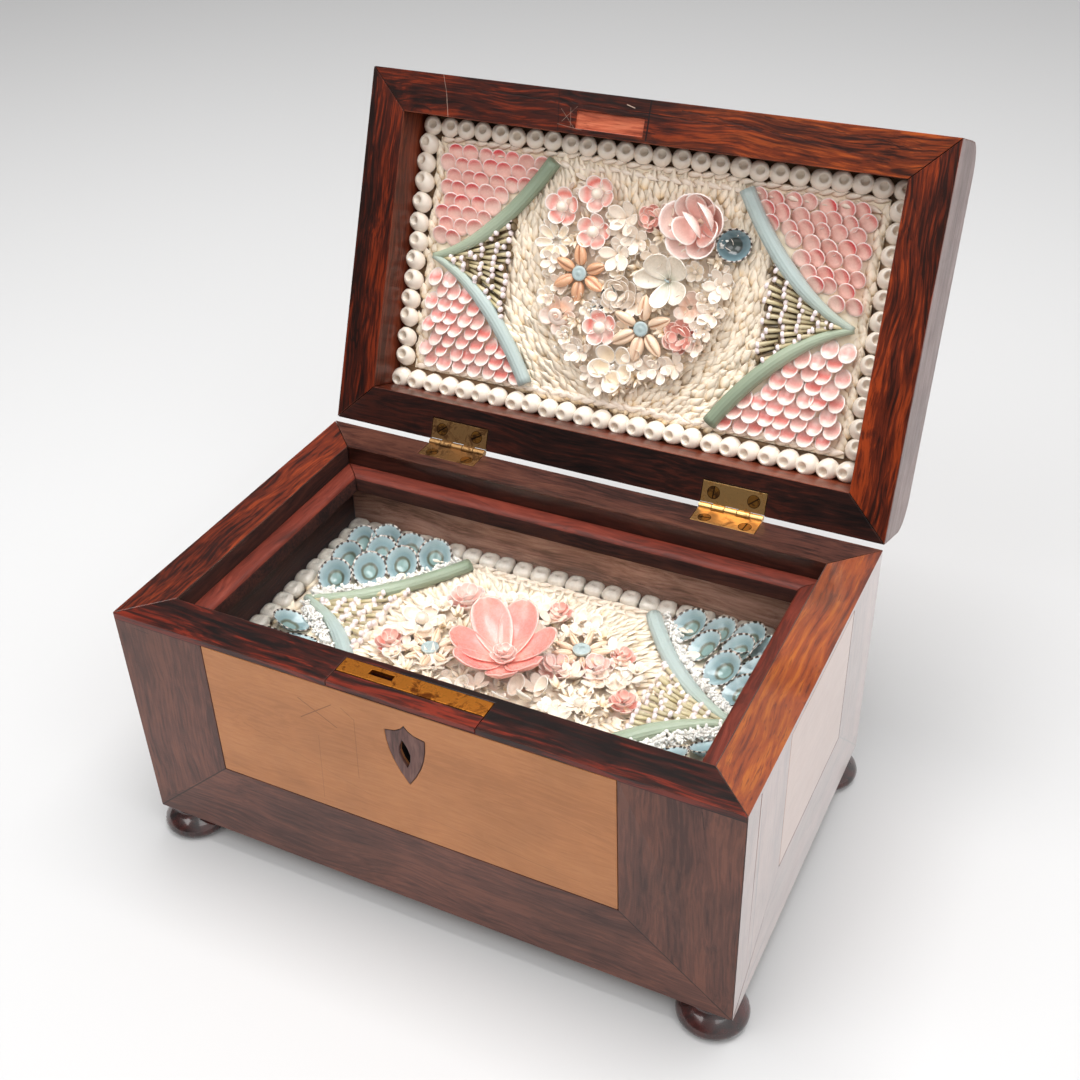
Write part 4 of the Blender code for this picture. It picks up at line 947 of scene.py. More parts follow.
# Deep, body and rim colours; where the rim starts, where the deep colour lies and how far it reaches;
# how much the shells vary, roughness and coat; growth rings and glow where they aren't the usual ones.
finishes = {name: shellMaterial(name, *row) for name, *row in (
    ("pearl", (214, 196, 172), (244, 232, 216), (244, 232, 216), 2.0, 1.0, 0.3, 0.06, 0.16, 0.7, 30.0, 0.15),
    ("milky", (208, 198, 184), (228, 220, 208), (228, 220, 208), 2.0, 1.0, 0.2, 0.1, 0.25, 0.5, 40.0, 0.2),
    ("cream", (244, 214, 168), (253, 238, 216), (254, 242, 226), 2.0, 0.1, 0.45, 0.2, 0.4, 0.15),
    # The scale fields' deep pink is partly the shells' own pink and partly painted shade: in the upper fields
    # it lies under the rims and is deeper, where the rims and the lid's rail shade the cups; in the lower
    # fields it lies nearer the hinges, under the row above.
    ("pinkUpper", (220, 70, 76), (250, 208, 194), (254, 238, 230), 0.9, 0.9, 0.42, 0.1, 0.24, 0.4),
    ("pinkLower", (245, 138, 130), (253, 224, 212), (254, 243, 236), 0.86, 0.5, 0.34, 0.1, 0.24, 0.4),
    ("sage", (122, 138, 114), (164, 176, 152), (176, 188, 168), 2.0, 1.0, 0.6, 0.1, 0.4, 0.1, 5.0),
    ("spine", (170, 182, 164), (176, 190, 186), (186, 202, 198), 2.0, 0.1, 0.4, 0.1, 0.4, 0.1, 5.0),
    ("quill", (170, 156, 112), (206, 192, 156), (246, 232, 232), 0.52, 0.2, 0.6, 0.3, 0.35, 0.3),
    # Dark under-quills: painted shade in the gaps between the quills, partly a dark bed.
    ("quillShade", (92, 74, 52), (118, 98, 70), (136, 116, 86), 2.0, 0.5, 0.4, 0.3, 0.6, 0.0),
    ("chalk", (250, 243, 234), (253, 249, 243), (253, 249, 243), 2.0, 0.5, 0.4, 0.05, 0.7, 0.0, 40.0, 0.25),
    ("palePink", (247, 178, 164), (252, 224, 214), (254, 246, 240), 0.92, 0.2, 0.5, 0.05, 0.22, 0.4),
    ("blush", (240, 130, 118), (252, 226, 214), (254, 244, 237), 0.88, 0.5, 0.32, 0.05, 0.25, 0.4),
    ("salmon", (242, 158, 142), (250, 200, 186), (253, 228, 216), 0.86, 0.3, 0.5, 0.05, 0.3, 0.3),
    ("hotPink", (240, 132, 126), (248, 172, 158), (253, 228, 216), 0.94, 0.6, 0.5, 0.05, 0.25, 0.4),
    ("white", (238, 212, 186), (246, 230, 212), (251, 242, 231), 0.85, 0.0, 0.4, 0.05, 0.28, 0.4),
    # The greenish grey at the foot of each white petal is painted shade where the petals meet the centre.
    ("bloomWhite", (176, 176, 152), (238, 226, 208), (248, 240, 228), 0.88, 0.0, 0.28, 0.05, 0.25, 0.4),
    ("cowrie", (184, 98, 54), (234, 178, 138), (240, 214, 184), 2.0, 0.0, 0.1, 0.3, 0.18, 0.7),
    ("tan", (206, 140, 96), (247, 216, 186), (250, 234, 214), 2.0, 0.0, 0.1, 0.15, 0.18, 0.7),
    ("disc", (160, 178, 176), (176, 192, 192), (196, 210, 206), 0.9, 1.0, 0.3, 0.1, 0.3, 0.4),
    ("peach", (248, 196, 164), (252, 232, 218), (254, 244, 234), 2.0, 0.2, 0.4, 0.05, 0.3, 0.4),
    ("sand", (246, 224, 192), (252, 238, 220), (253, 245, 234), 0.86, 0.3, 0.5, 0.06, 0.3, 0.3),
    ("dark", (46, 56, 54), (70, 86, 86), (110, 124, 120), 0.9, 0.5, 0.4, 0.3, 0.25, 0.5))}
finishes["limpet"] = limpetMaterial("limpetBlue", (134, 160, 164), (92, 98, 82), (128, 156, 152),
                                    (178, 198, 202))
finishes["limpetDark"] = limpetMaterial("limpetDark", (90, 114, 120), (50, 58, 56), (58, 66, 62),
                                        (122, 146, 152))
finishes["screw"] = brassMaterial("screwBrass", (150, 104, 48), (64, 42, 24), 0.6, 0.34)
# The slot floors are dark: painted shade in the shallow screw slots.
finishes["slot"] = brassMaterial("screwSlotShade", (60, 40, 22), (28, 18, 12), 0.6, 0.6)


# fields that both pictures share

layout = {"borderX": 124.2, "borderT": 66.9, "columns": 26, "rows": 12, "apex": 113.6,
          "bend": ((91.5, 6.7), (70.3, 26.0)), "end": (51.0, 57.5), "thick": 3.8, "lift": 5.6,
          "fieldX": 113.8, "fieldT": 57.4}


# A place some way off from another, in a direction given in degrees.
def away(x, t, azimuth, reach):
    turn = math.radians(azimuth)
    return x + reach * math.cos(turn), t + reach * math.sin(turn)


# A point of the upper right spine, a part of the way from the apex.
def spinePoint(part):
    a, b, c, d = (layout["apex"], 0.0), *layout["bend"], layout["end"]
    s = 1 - part
    return tuple(s ** 3 * a[i] + 3 * s * s * part * b[i] + 3 * s * part * part * c[i] + part ** 3 * d[i]
                 for i in (0, 1))


spinePath = [spinePoint(i / 80) for i in range(81)]


def spineX(t):
    for before, after in zip(spinePath, spinePath[1:]):
        if after[1] >= t:
            part = (t - before[1]) / max(after[1] - before[1], 1e-6)
            return before[0] + (after[0] - before[0]) * part
    return layout["end"][0]


# How far a place lies towards the middle of the picture from the spines.
def insideSpines(x, t):
    return spineX(abs(t)) - abs(x) if abs(t) < layout["end"][1] else 60 - abs(x)


# Places of the border shells with the side they stand on.
def borderPath():
    wide, high, columns, rows = (layout[k] for k in ("borderX", "borderT", "columns", "rows"))
    across = [wide * (2 * i / (columns - 1) - 1) for i in range(columns)]
    up = [high * (2 * i / (rows + 1) - 1) for i in range(1, rows + 1)]
    return ([place for x in across for place in ((x, high, "top"), (x, -high, "bottom"))]
            + [place for t in up for place in ((-wide, t, "left"), (wide, t, "right"))])


# Two plaited lines of rice shells above and below, inside the border.
def braidSpots(rand, height):
    made = []
    for inset, lean in ((6.4, 10), (9.2, -12)):
        wide, high = layout["borderX"] - inset, layout["borderT"] - inset
        for side in (-1, 1):
            count = int(2 * wide / 6.4)
            for i in range(count):
                x = -wide + 2 * wide * (i + 0.5) / count - 4
                made.append(spot(x, side * high, height + rand.uniform(0, 0.6), lean + rand.uniform(-6, 6),
                                 8, 0, (10.0, 4.0, 2.6), rand.random()))
    return made


# A line of flakes, tips up, between the fields and the border's sides.
def sideFlakes(rand, height, count=42):
    wide, high = layout["borderX"] - 7.0, layout["borderT"] - 9.0
    return [spot(side * wide + rand.uniform(-1.6, 1.6), -high + 2 * high * i / count - 3, height,
                 90 + rand.uniform(-12, 12), 14, rand.uniform(-12, 12), (9.0, 5.6, 4.0), rand.random())
            for side in (-1, 1) for i in range(count)]


# One ribbed spine, swept along the curve, thin at the apex and cut flat at its far end.
def spineSweep(side, end, rows=34, sides=56, ribs=14):
    shape = bmesh.new()
    layer = shape.verts.layers.float_vector.new("shell")
    hue = shape.verts.layers.float.new("tint")
    rings = []
    for i in range(rows + 1):
        part = i / rows
        x, t = spinePoint(part)
        ahead, behind = spinePoint(min(part + 0.01, 1.0)), spinePoint(max(part - 0.01, 0.0))
        along = Vector((ahead[0] - behind[0], ahead[1] - behind[1])).normalized()
        radius = layout["thick"] * (0.42 + 0.58 * min(1.0, 2.0 * part))
        rings.append([])
        for j in range(sides):
            angle = 2 * math.pi * j / sides
            rib = math.cos(ribs * angle)
            reach = radius * (1 + 0.03 * rib)
            out, up = reach * math.cos(angle), 0.85 * reach * math.sin(angle)
            vert = shape.verts.new((side * (x + along.y * out) * mm, end * (t - along.x * out) * mm,
                                    (layout["lift"] + up) * mm))
            vert[layer] = (part, 0.5 + 0.5 * rib, 0.0)
            vert[hue] = 0.5
            rings[-1].append(vert)
    skin(shape, rings)
    shape.faces.new(rings[0])
    shape.faces.new(rings[-1])
    bmesh.ops.recalc_face_normals(shape, faces=shape.faces)
    return finishShape(shape, "spine", finishes["sage" if side * end < 0 else "spine"])


# A fan of quills from the apex, in rows of equal reach across the picture.
def quillSpots(side, rand, thick=3.2, drop=0.0, length=11.5):
    made = []
    for reach, count in ((14.0, 3), (21.0, 6), (28.5, 9), (36.5, 12), (44.5, 15)):
        limit = next(t for x, t in spinePath if layout["apex"] - x >= reach) - layout["thick"] - 0.6
        for i in range(count):
            tipT = (2 * (i + 0.5) / count - 1) * limit
            tipX = layout["apex"] - reach - rand.uniform(-2.4, 2.0)
            angle = math.degrees(math.atan2(tipT, tipX - layout["apex"]))
            turn = math.radians(angle)
            made.append(spot(side * (tipX - length * math.cos(turn) * 0.97), tipT - length * math.sin(turn),
                             3.2 + (i % 2) * 1.3 - drop, angle if side > 0 else 180 - angle,
                             12 + rand.uniform(-2, 3), 0, (length, thick, thick), rand.random()))
    return made


# Overlapping pointed flakes that stream as the flow says.
def riceField(rand, skip, flow, height=1.7):
    made = []
    for row in range(34):
        t, x = 3.5 * row - 60, -112.0 + (row % 2) * 1.6
        while x < 112:
            a, b = x + rand.uniform(-1.0, 1.0), t + rand.uniform(-1.4, 1.4)
            inFan = layout["apex"] - abs(a) < 44 and insideSpines(a, b) > 0
            if insideSpines(a, b) > layout["thick"] - 1.5 and not inFan and not skip(a, b):
                turn = flow(a, b) + rand.uniform(-18, 18)
                long = rand.uniform(8.0, 12.5)
                made.append(spot(*away(a, b, turn, -4), height + rand.uniform(0, 0.5), turn,
                                 rand.uniform(5, 11), rand.uniform(-9, 9), (long, 5.2, 2.4), rand.random()))
            x += 2.8
    return made


# Border, spines, quills and ground of one picture.
def makeFields(body, skip, flow):
    where, lid = body + "_", body == "lid"
    rand = random.Random(5 if lid else 9)
    beads = []
    mouths = {"top": (25, 14), "left": (125, 14), "bottom": (215, 26), "right": (60, 12)}
    for x, t, side in borderPath():
        azimuth, tilt = mouths[side] if lid else (rand.choice((0, 90)), 0)
        size = (5.3, 5.3, 5.0) if lid else (5.0, 5.0, 4.6)
        beads.append(spot(x, t, 0.5, azimuth, -tilt * 0.5, 0, size, rand.random()))
    border = layShells("bead" if lid else "squareBead", beads, "pearl" if lid else "milky", 0.12, 0.02, 3)
    joinPiece(where + "border_shells", [border], body, "pearl_shell", where + "shell_border")
    for side, across in ((-1, "left"), (1, "right")):
        joinPiece(where + "ribbed_spines_" + across, [spineSweep(side, end) for end in (1, -1)], body,
                  "spine", where + "spines_" + across)
        # In the lid the lower, thicker layer of quills is dark: painted shade between the quills, partly a
        # dark bed; in the case it is pale sand.
        fan = [layShells("quill", quillSpots(side, rand), "quill", 0.05, 0.08, 4),
               layShells("quill", quillSpots(side, rand, 4.4, 2.0), "quillShade" if lid else "sand", 0.0, 0.1,
                         5)]
        joinPiece(where + "quill_fan_" + across, fan, body, "quill", where + "quills_" + across)
    rice = riceField(rand, skip, flow) + sideFlakes(rand, 1.8)
    joinPiece(where + "rice_shells", [
        layShells("flake", rice, "cream", 0.08, 0.15, 6 if lid else 31),
        layShells("rice", braidSpots(rand, 1.8), "white", 0.06, 0.1, 61 if lid else 62)], body, "cream_shell")
    return rand


# Free places at least a spacing apart, clear of the flowers already there.
def scatter(rand, inside, taken, spacing, tries=900):
    found = []
    for _ in range(tries):
        x, t = rand.uniform(-66, 68), rand.uniform(-56, 56)
        if (inside(x, t) and all(math.hypot(x - a, t - b) >= 0.8 * r for a, b, r in taken)
                and all(math.hypot(x - a, t - b) > spacing for a, b in found)):
            found.append((x, t))
    return found


# The plaster mound that carries a flower bed, high in the middle and gone at its edge.
def mound(inside, height, step=3.0):
    shape = bmesh.new()
    around = (-9, -4.5, 0, 4.5, 9)
    grid = {}
    for i in range(-24, 25):
        for j in range(-20, 21):
            x, t = i * step, j * step
            near = sum(inside(x + a, t + b) for a in around for b in around) / 25
            grid[i, j] = shape.verts.new((x * mm, t * mm, (height * near ** 0.6 - 0.5) * mm)), near
    for i in range(-24, 24):
        for j in range(-20, 20):
            corners = [grid[i, j], grid[i + 1, j], grid[i + 1, j + 1], grid[i, j + 1]]
            if any(near > 0 for vert, near in corners):
                shape.faces.new([vert for vert, near in corners]).smooth = True
    bmesh.ops.delete(shape, geom=[v for v in shape.verts if not v.link_faces], context="VERTS")
    shape.normal_update()
    return finishShape(shape, "mound", finishes["sand"])


# Shells round a centre, pointing outwards.
def ringOf(rand, x, t, h, count, radius, size, tilt, start=0.0):
    made = []
    for i in range(count):
        azimuth = start + 360 * i / count
        made.append(spot(*away(x, t, azimuth, radius), h, azimuth, tilt, 0, size, rand.random()))
    return made


# Nested rings of small valves that stand steeper towards the middle.
def rose(rand, x, t, h, radius, petals=(6, 5, 3)):
    made = []
    for index, count in enumerate(petals):
        part = index / len(petals)
        size = radius * (0.85 - 0.35 * part)
        made += ringOf(rand, x, t, h + 1.5 * index, count, radius * (0.22 - 0.12 * part),
                       (size, size * 1.1, size * 0.9), 28 + 42 * part, 30 * index + rand.uniform(0, 40))
    return made


# Small white flowers of three sorts and loose bits between the large ones.
def fillBed(rand, inside, taken, seed, height):
    stars, cups, tufts, hearts = [], [], [], []
    for index, (x, t) in enumerate(scatter(rand, inside, taken, 7.6)):
        turn = rand.uniform(0, 72)
        if index % 3 == 0:
            r = rand.uniform(6.5, 8.5)
            stars += ringOf(rand, x, t, height + 1.4, 5, 0.4, (r, r * 0.66, r * 0.5), rand.uniform(20, 40),
                            turn)
        elif index % 3 == 1:
            r = rand.uniform(4.6, 6.2)
            cups += ringOf(rand, x, t, height + 1.2, 5, 0.6, (r, r, r * 0.8), rand.uniform(26, 40), turn)
            hearts.append(spot(x, t, height + 3.0, size=1.3))
        else:
            tufts += [spot(x + rand.uniform(-1, 1), t + rand.uniform(-1, 1), height + 1.0, turn + 51 * step,
                           rand.uniform(20, 60), 0, (7.0, 3.6, 3.0), rand.random()) for step in range(7)]
    sizes = (6.0, 3.6, 2.2), (5.0, 3.6, 2.4), (7.0, 3.4, 2.0)
    bits = [spot(x, t, rand.uniform(height - 1.6, height - 0.2), rand.uniform(0, 360), rand.uniform(0, 30),
                 rand.uniform(0, 50), rand.choice(sizes), rand.random())
            for x, t in scatter(rand, inside, (), 2.6, 5000)]
    half = len(bits) // 2
    return [mound(inside, height - 0.6), layShells("petal", stars, "white", 0.15, 0.15, seed),
            layShells("chip", cups, "sand", 0.12, 0.12, seed + 1),
            layShells("flake", tufts + bits[:half], "cream", 0.2, 0.2, seed + 2),
            layShells("chip", bits[half:], "white", 0.3, 0.2, seed + 3),
            layShells("pearl", hearts, "white", 0.0, 0.2, seed + 4)]


# the lid's picture

# The heart bed's outline.
heartLine = []
for turn in (2 * math.pi * step / 96 for step in range(96)):
    wide = math.copysign(50.0 * abs(math.sin(turn)) ** 1.5, math.sin(turn))
    tall = 13 * math.cos(turn) - 3.2 * math.cos(2 * turn) - 2 * math.cos(3 * turn) - math.cos(4 * turn)
    heartLine.append((wide, 5.5 + 3.9 * tall))


def inHeart(x, t):
    inside = False
    for (ax, at), (bx, bt) in zip(heartLine, heartLine[1:] + heartLine[:1]):
        if (at > t) != (bt > t) and x < ax + (t - at) * (bx - ax) / (bt - at):
            inside = not inside
    return inside


# The rice shells point up beside the heart and along its lower edges.
def lidFlow(x, t):
    lean = 10 + 42 * min(1.0, max(0.0, (12 - t) / 62))
    return 90 - math.copysign(lean, x) * min(1.0, abs(x) / 16)


# Rows of scales that fill one corner between spine and border.
def scaleSpots(side, end, rand, pitch=8.3, step=6.3):
    made = []
    lean = {(-1, 1): 90, (1, 1): 32}.get((side, end), -90)
    row, t = 0, 11.5
    while t < layout["fieldT"]:
        inner, outer = spineX(t) + 5.2, layout["fieldX"] - 2.0
        for i in range(int((outer - inner) / pitch) + 2):
            x = outer - pitch * (i + (0.5 if row % 2 else 0.0))
            if x < inner:
                continue
            a, b = away(side * x, end * t, lean, -5.4)
            made.append(spot(a + rand.uniform(-0.5, 0.5), b + rand.uniform(-0.4, 0.4), 3.2 - 0.01 * t,
                             lean + rand.uniform(-12, 12), 26 + rand.uniform(-4, 4), 9 + rand.uniform(-6, 6),
                             (10.8, 9.6, 9.5), rand.random()))
        t += step
        row += 1
    return made


def makeLidPicture():
    rand = makeFields("lid", inHeart, lidFlow)
    for side, across in ((-1, "left"), (1, "right")):
        for end, along, pink in ((1, "upper", "pinkUpper"), (-1, "lower", "pinkLower")):
            corner = along + "_" + across
            joinPiece("lid_scale_shells_" + corner, [
                layShells("scale", scaleSpots(side, end, rand), pink, 0.06, 0.1, 7)], "lid", "pink_shell",
                "lid_scales_" + corner)
    taken = ((-42, 36, 13), (-24, 45, 13), (-23, 26, 13), (-12, -20.5, 13), (6, 37, 9), (30, -18, 9),
             (-5, -2, 9), (-37, -17, 10), (-44, 18, 10), (32, -3, 9), (-3, -39, 13), (49, 31, 9),
             (30, 37.6, 20), (19.4, 8.2, 16), (-27.5, 4.5, 14), (9.6, -17.4, 14))
    bed = fillBed(rand, inHeart, taken, 8, 5.2)
    cups, pearls, stars, nubs = [], [], [], []
    for x, t, h, turn in ((-42, 36, 6, 20), (-24, 45, 6, 50), (-23, 26, 7, 10), (-12, -20.5, 8, 35)):
        cups += ringOf(rand, x, t, h, 5, 1.6, (9.2, 9.6, 8.6), 28, turn)
        pearls.append(spot(x, t, h + 3.2, size=3.3))
    bed += [layShells(*row) for row in (
        ("cup", cups, "blush", 0.1, 0.1, 10), ("pearl", pearls, "white", 0, 0.1, 11),
        ("cup", rose(rand, 6, 37, 6, 7.5), "salmon", 0.1, 0.1, 12),
        ("cup", rose(rand, 30, -18, 6, 9.5), "salmon", 0.1, 0.1, 13),
        ("cup", rose(rand, -5, -2, 6, 9.5), "white", 0.1, 0.1, 14),
        ("snail", [spot(-37, -17, 6.5, 120, 20, 0, 7.5, 0.4)], "peach", 0, 0, 15),
        ("frilled", ringOf(rand, -37, -18, 5.5, 5, 2.0, (9.5, 10.0, 8.0), 14, 200), "peach", 0.1, 0.1, 28),
        ("ribbed", ringOf(rand, -44, 18, 6, 8, 2.0, (9.5, 6.0, 8.0), 22, 10), "sand", 0.08, 0.1, 16),
        ("frilled", ringOf(rand, 32, -3, 6, 5, 1.0, (8.5, 8.0, 8.0), 30, 0), "peach", 0.15, 0.1, 17),
        ("cup", ringOf(rand, -3, -39, 6, 5, 2.0, (12.5, 11.0, 11.0), 30, 54), "sand", 0.1, 0.1, 18))]
    for x, t, r in ((46, 10, 10), (-7, 35, 11), (44, -4, 9), (-9, 17, 11), (-22, -34, 8), (22, -36, 8),
                    (0, 25, 9)):
        stars += ringOf(rand, x, t, 7.5, 5, 0.6, (r, r * 0.64, r * 0.5), 26, rand.uniform(0, 60))
    for x, t, spread, count in ((38, -14, 5, 12), (-3, -39, 2.0, 4), (44, 29, 3, 12), (-18, -10, 5, 9),
                                (38, 12, 4, 6), (-30, -30, 8, 9)):
        nubs += [spot(x + rand.gauss(0, spread / 2), t + rand.gauss(0, spread / 2), rand.uniform(6, 8.5),
                      rand.uniform(0, 360), rand.uniform(0, 70), 0, rand.uniform(1.3, 2.2), rand.random())
                 for _ in range(count)]
    bed += [layShells(*row) for row in (
        ("petal", stars, "white", 0.15, 0.2, 19), ("nubA", nubs, "chalk", 0.3, 0.3, 20),
        ("limpet", [spot(49, 30, 4.5, 200, 14, 0, (8.6, 9.4, 7))], "limpetDark", 0, 0, 21),
        ("valve", [spot(-15, -5, 6, 40, 20, 0, 9), spot(-12, -12, 5, 200, 30, 0, 8)], "dark", 0, 0, 22))]
    joinPiece("lid_small_flowers", bed, "lid", "white_shell", "lid_flower_bed")

    petals = [spot(*away(30, 37.6, azimuth, reach), lift, azimuth, tilt, rand.uniform(-5, 5),
                   (length, wide, length * 0.95), rand.random())
              for azimuth, reach, lift, length, wide, tilt in (
                  (178, 0.5, 5.5, 20.0, 21.0, 30), (120, 0.5, 5.5, 17.0, 17.0, 34),
                  (84, 1.5, 6.0, 17.5, 17.0, 42), (18, 0.5, 5.5, 18.0, 17.0, 36),
                  (-28, 1.0, 6.0, 17.5, 16.0, 44), (-68, 0.5, 5.5, 19.5, 17.0, 32),
                  (-122, 0.5, 5.0, 20.0, 20.0, 24), (40, 3.5, 8.0, 15.0, 17.0, 66),
                  (-140, 1.0, 9.0, 13.0, 16.5, 48), (42, -2.0, 9.0, 12.5, 17.0, 80))]
    joinPiece("lid_big_rose", [layShells("cup", petals, "palePink", 0.04, 0.04, 23)], "lid", "pink_shell",
              "lid_rose")
    petals = [spot(*away(19.4, 8.2, azimuth, 1.2), 8.0, azimuth, tilt, 0, (length, wide, 11.0),
                   rand.random())
              for azimuth, length, wide, tilt in ((126, 15.5, 13.5, 26), (54, 15.0, 13.0, 26),
                                                  (184, 16.0, 9.5, 16), (-40, 14.5, 11.5, 24),
                                                  (-98, 15.0, 9.0, 34))]
    centre = layShells("nubB", [spot(19.4, 8.2, 8.2, size=(1.8, 1.8, 1.2))], "disc", 0, 0, 25)
    joinPiece("lid_white_bloom", [layShells("wide", petals, "bloomWhite", 0.05, 0.05, 24), centre], "lid",
              "white_shell", "lid_white_flower")
    for where, x, t, turns, size, finish in (
            ("left", -27.5, 4.5, (95, 25, -24, -90, -149, 158), (12.4, 7.0, 6.4), "cowrie"),
            ("low", 9.6, -17.4, (88, 28, -42, -95, -148, 158), (14.4, 7.6, 6.8), "tan")):
        ring = [spot(*away(x, t, azimuth, 3.4), 8.0, azimuth, 8, rand.uniform(-50, 50), size, rand.random())
                for azimuth in turns]
        joinPiece("lid_cowrie_bloom_" + where, [
            layShells("cowrie", ring, finish, 0.06, 0.08, 26),
            layShells("disc", [spot(x, t, 8.6, size=(3.9, 3.9, 4.5))], "disc", 0, 0, 27)], "lid", "cowrie",
            "lid_cowrie_flower_" + where)


# the case's picture

def inOval(x, t):
    return ((x - 2) / 63) ** 2 + ((t + 2) / 44) ** 2 < 1


def caseFlow(x, t):
    return math.degrees(math.atan2(t, x))


# Limpets that shingle away from the spine, hollow sides towards it.
def limpetSpots(side, end, rand):
    made = []
    lean = math.degrees(math.atan2(end, side * (0.6 if side < 0 else 1.1)))
    for row, count in enumerate((4, 3, 2)):
        for i in range(count):
            x, t = min(109.5 - 12.8 * i + 1.8 * row, 112.0), min(21.5 + 11.8 * i + 15.5 * row, 57.5)
            made.append(spot(side * x, end * t, 3.6 + 0.5 * row, lean + rand.uniform(-14, 14), 30, 0,
                             (10.2, 10.6, 7.4), rand.random()))
    return made


# Coral along the outside of a spine.
def coralSpots(side, end, rand):
    made = []
    for _ in range(230):
        part = rand.uniform(0.04, 1.0)
        x, t = spinePoint(part)
        ahead = spinePoint(min(part + 0.02, 1.0))
        run = Vector((ahead[0] - x, ahead[1] - t)) if part < 0.99 else Vector((-0.3, 1.0))
        run.normalize()
        out = rand.uniform(4.6, 8.6) * min(1.0, 0.4 + 2.5 * part)
        made.append(spot(side * min(x + out * run.y, 117), end * min(t - out * run.x, 60),
                         rand.uniform(4.5, 8.0) - 0.4 * out, rand.uniform(0, 360), rand.uniform(0, 60), 0,
                         rand.uniform(2.1, 3.3), rand.random()))
    return made


def makeCasePicture():
    rand = makeFields("case", inOval, caseFlow)
    for side, across in ((-1, "left"), (1, "right")):
        for end, along in ((1, "back"), (-1, "front")):
            corner = along + "_" + across
            joinPiece("case_limpet_shells_" + corner, [
                layShells("limpet", limpetSpots(side, end, rand), "limpet", 0.1, 0.1, 32),
                layShells("nubB", coralSpots(side, end, rand), "chalk", 0.3, 0.3, 33)], "case", "limpet",
                "case_limpets_" + corner)
    taken = ((-55, -15, 8), (63.5, -9, 8), (9.4, 38.5, 8), (50.7, 20.4, 7), (25.6, 0, 9), (43, 6.5, 9),
             (-37, 29.6, 11), (-49, 5.5, 12), (14, -26, 8), (24.5, -22, 8), (46, -18.5, 9), (-28, -21, 9),
             (2, -6, 24), (-34, -13, 14), (32, 15, 14), (60, 7, 8))
    bed = fillBed(rand, inOval, taken, 34, 5.0)
    bed += [layShells("cup", rose(rand, x, t, 5.5, r), "salmon", 0.1, 0.1, seed) for x, t, r, seed in (
        (-55, -15, 8.5, 36), (63.5, -9, 7.5, 37), (9.4, 38.5, 7.0, 38), (50.7, 20.4, 6.5, 39))]
    pinks, whites = [], []
    for x, t, r in ((25.6, 0, 9.5), (43, 6.5, 9.5), (-37, 29.6, 10.5)):
        pinks += rose(rand, x, t, 6, r, (5, 4, 3))
    for ring in ((-49, 5.5, 6, 5, 2, (11, 10, 9), 24, 20), (14, -26, 7, 2, 1, (11, 9, 10), 48, 70),
                 (24.5, -22, 7, 2, 1, (11, 8, 10), 52, 60), (-6, 36, 6, 5, 2, (10, 9, 9), 26, 10),
                 (28, 33, 6, 5, 2, (9, 8, 8), 26, 10), (-10, -34, 6, 5, 2, (9, 8, 8), 26, 10)):
        whites += ringOf(rand, *ring)
    pearls = [spot(-49, 5.5, 9, size=3.4, tint=0.4), spot(46, -18.5, 8.5, size=2.4, tint=0.4)]
    halves = ringOf(rand, 60, 7, 6.5, 3, 0.5, (8, 7, 6), 24, 10)
    spikes = ringOf(rand, 46, -18.5, 7.5, 10, 1.6, (9.5, 3.4, 4), 14, 0)
    spikes += ringOf(rand, -28, -21, 7, 13, 1.0, (11, 2.6, 4), 28, 5)
    for x, t, r in ((10, 20, 8), (36, -32, 8), (-20, 34, 8), (52, -30, 6), (-42, -26, 8), (0, -42, 7)):
        spikes += ringOf(rand, x, t, 6, 6, 0.6, (r, r * 0.42, r * 0.5), 20, rand.uniform(0, 60))
    bed += [layShells(*row) for row in (
        ("cup", pinks, "palePink", 0.1, 0.1, 40), ("cup", whites, "white", 0.1, 0.1, 41),
        ("pearl", pearls, "pearl", 0, 0, 42), ("valve", halves, "pearl", 0.1, 0.1, 43),
        ("spike", spikes, "white", 0.1, 0.15, 44))]
    joinPiece("case_small_flowers", bed, "case", "white_shell", "case_flower_bed")

    petals = []
    middle = (2.0, -6.0)
    for tipX, tipT, wide in ((-20, 16, 19), (0, 24, 19), (-24, -10, 18), (21, 10, 16), (12, -28, 16),
                             (23, -14, 16), (-13, -26, 16)):
        dx, dt = tipX - middle[0], tipT - middle[1]
        azimuth = math.degrees(math.atan2(dt, dx))
        petals.append(spot(*away(*middle, azimuth, 2.5), 9.0, azimuth, 24, rand.uniform(-6, 6),
                           (math.hypot(dx, dt) * 1.02, wide, 15), rand.random()))
    heart = rose(rand, *middle, 10.5, 7.0, (6, 5, 4))
    joinPiece("case_pink_bloom", [layShells("wide", petals, "hotPink", 0.03, 0.04, 45),
                                  layShells("cup", heart, "palePink", 0.1, 0.1, 46)],
              "case", "deep_pink_shell", "case_pink_flower")
    for across, x, t, count, wide in (("left", -34, -13, 8, 4.6), ("right", 32, 15, 9, 3.8)):
        ring = ringOf(rand, x, t, 7.5, count, 3.6, (11.5, wide, 4.6), 12, 15)
        joinPiece("case_cowrie_bloom_" + across, [
            layShells("cowrie", ring, "tan", 0.1, 0.1, 47),
            layShells("disc", [spot(x, t, 8.4, size=(4.4, 4.4, 4.6))], "disc", 0, 0, 48)], "case", "cowrie",
            "case_cowrie_flower_" + across)


# The plaster bed that shows between the shells.
def dressGrounds():
    made, tree, sockets = newMaterial("plasterBed", **{"Roughness": 0.7})
    cloud = noiseOn(objectPlace(tree), 240.0, 4.0)
    feed(sockets["Base Color"], blend(fade(cloud, 0.35, 0.7), rgb(248, 232, 204), rgb(252, 240, 220)))
    addBump(sockets, cloud, 0.4, 0.0006)
    dress("lid_shell_ground", made)
    dress("case_shell_ground", made)


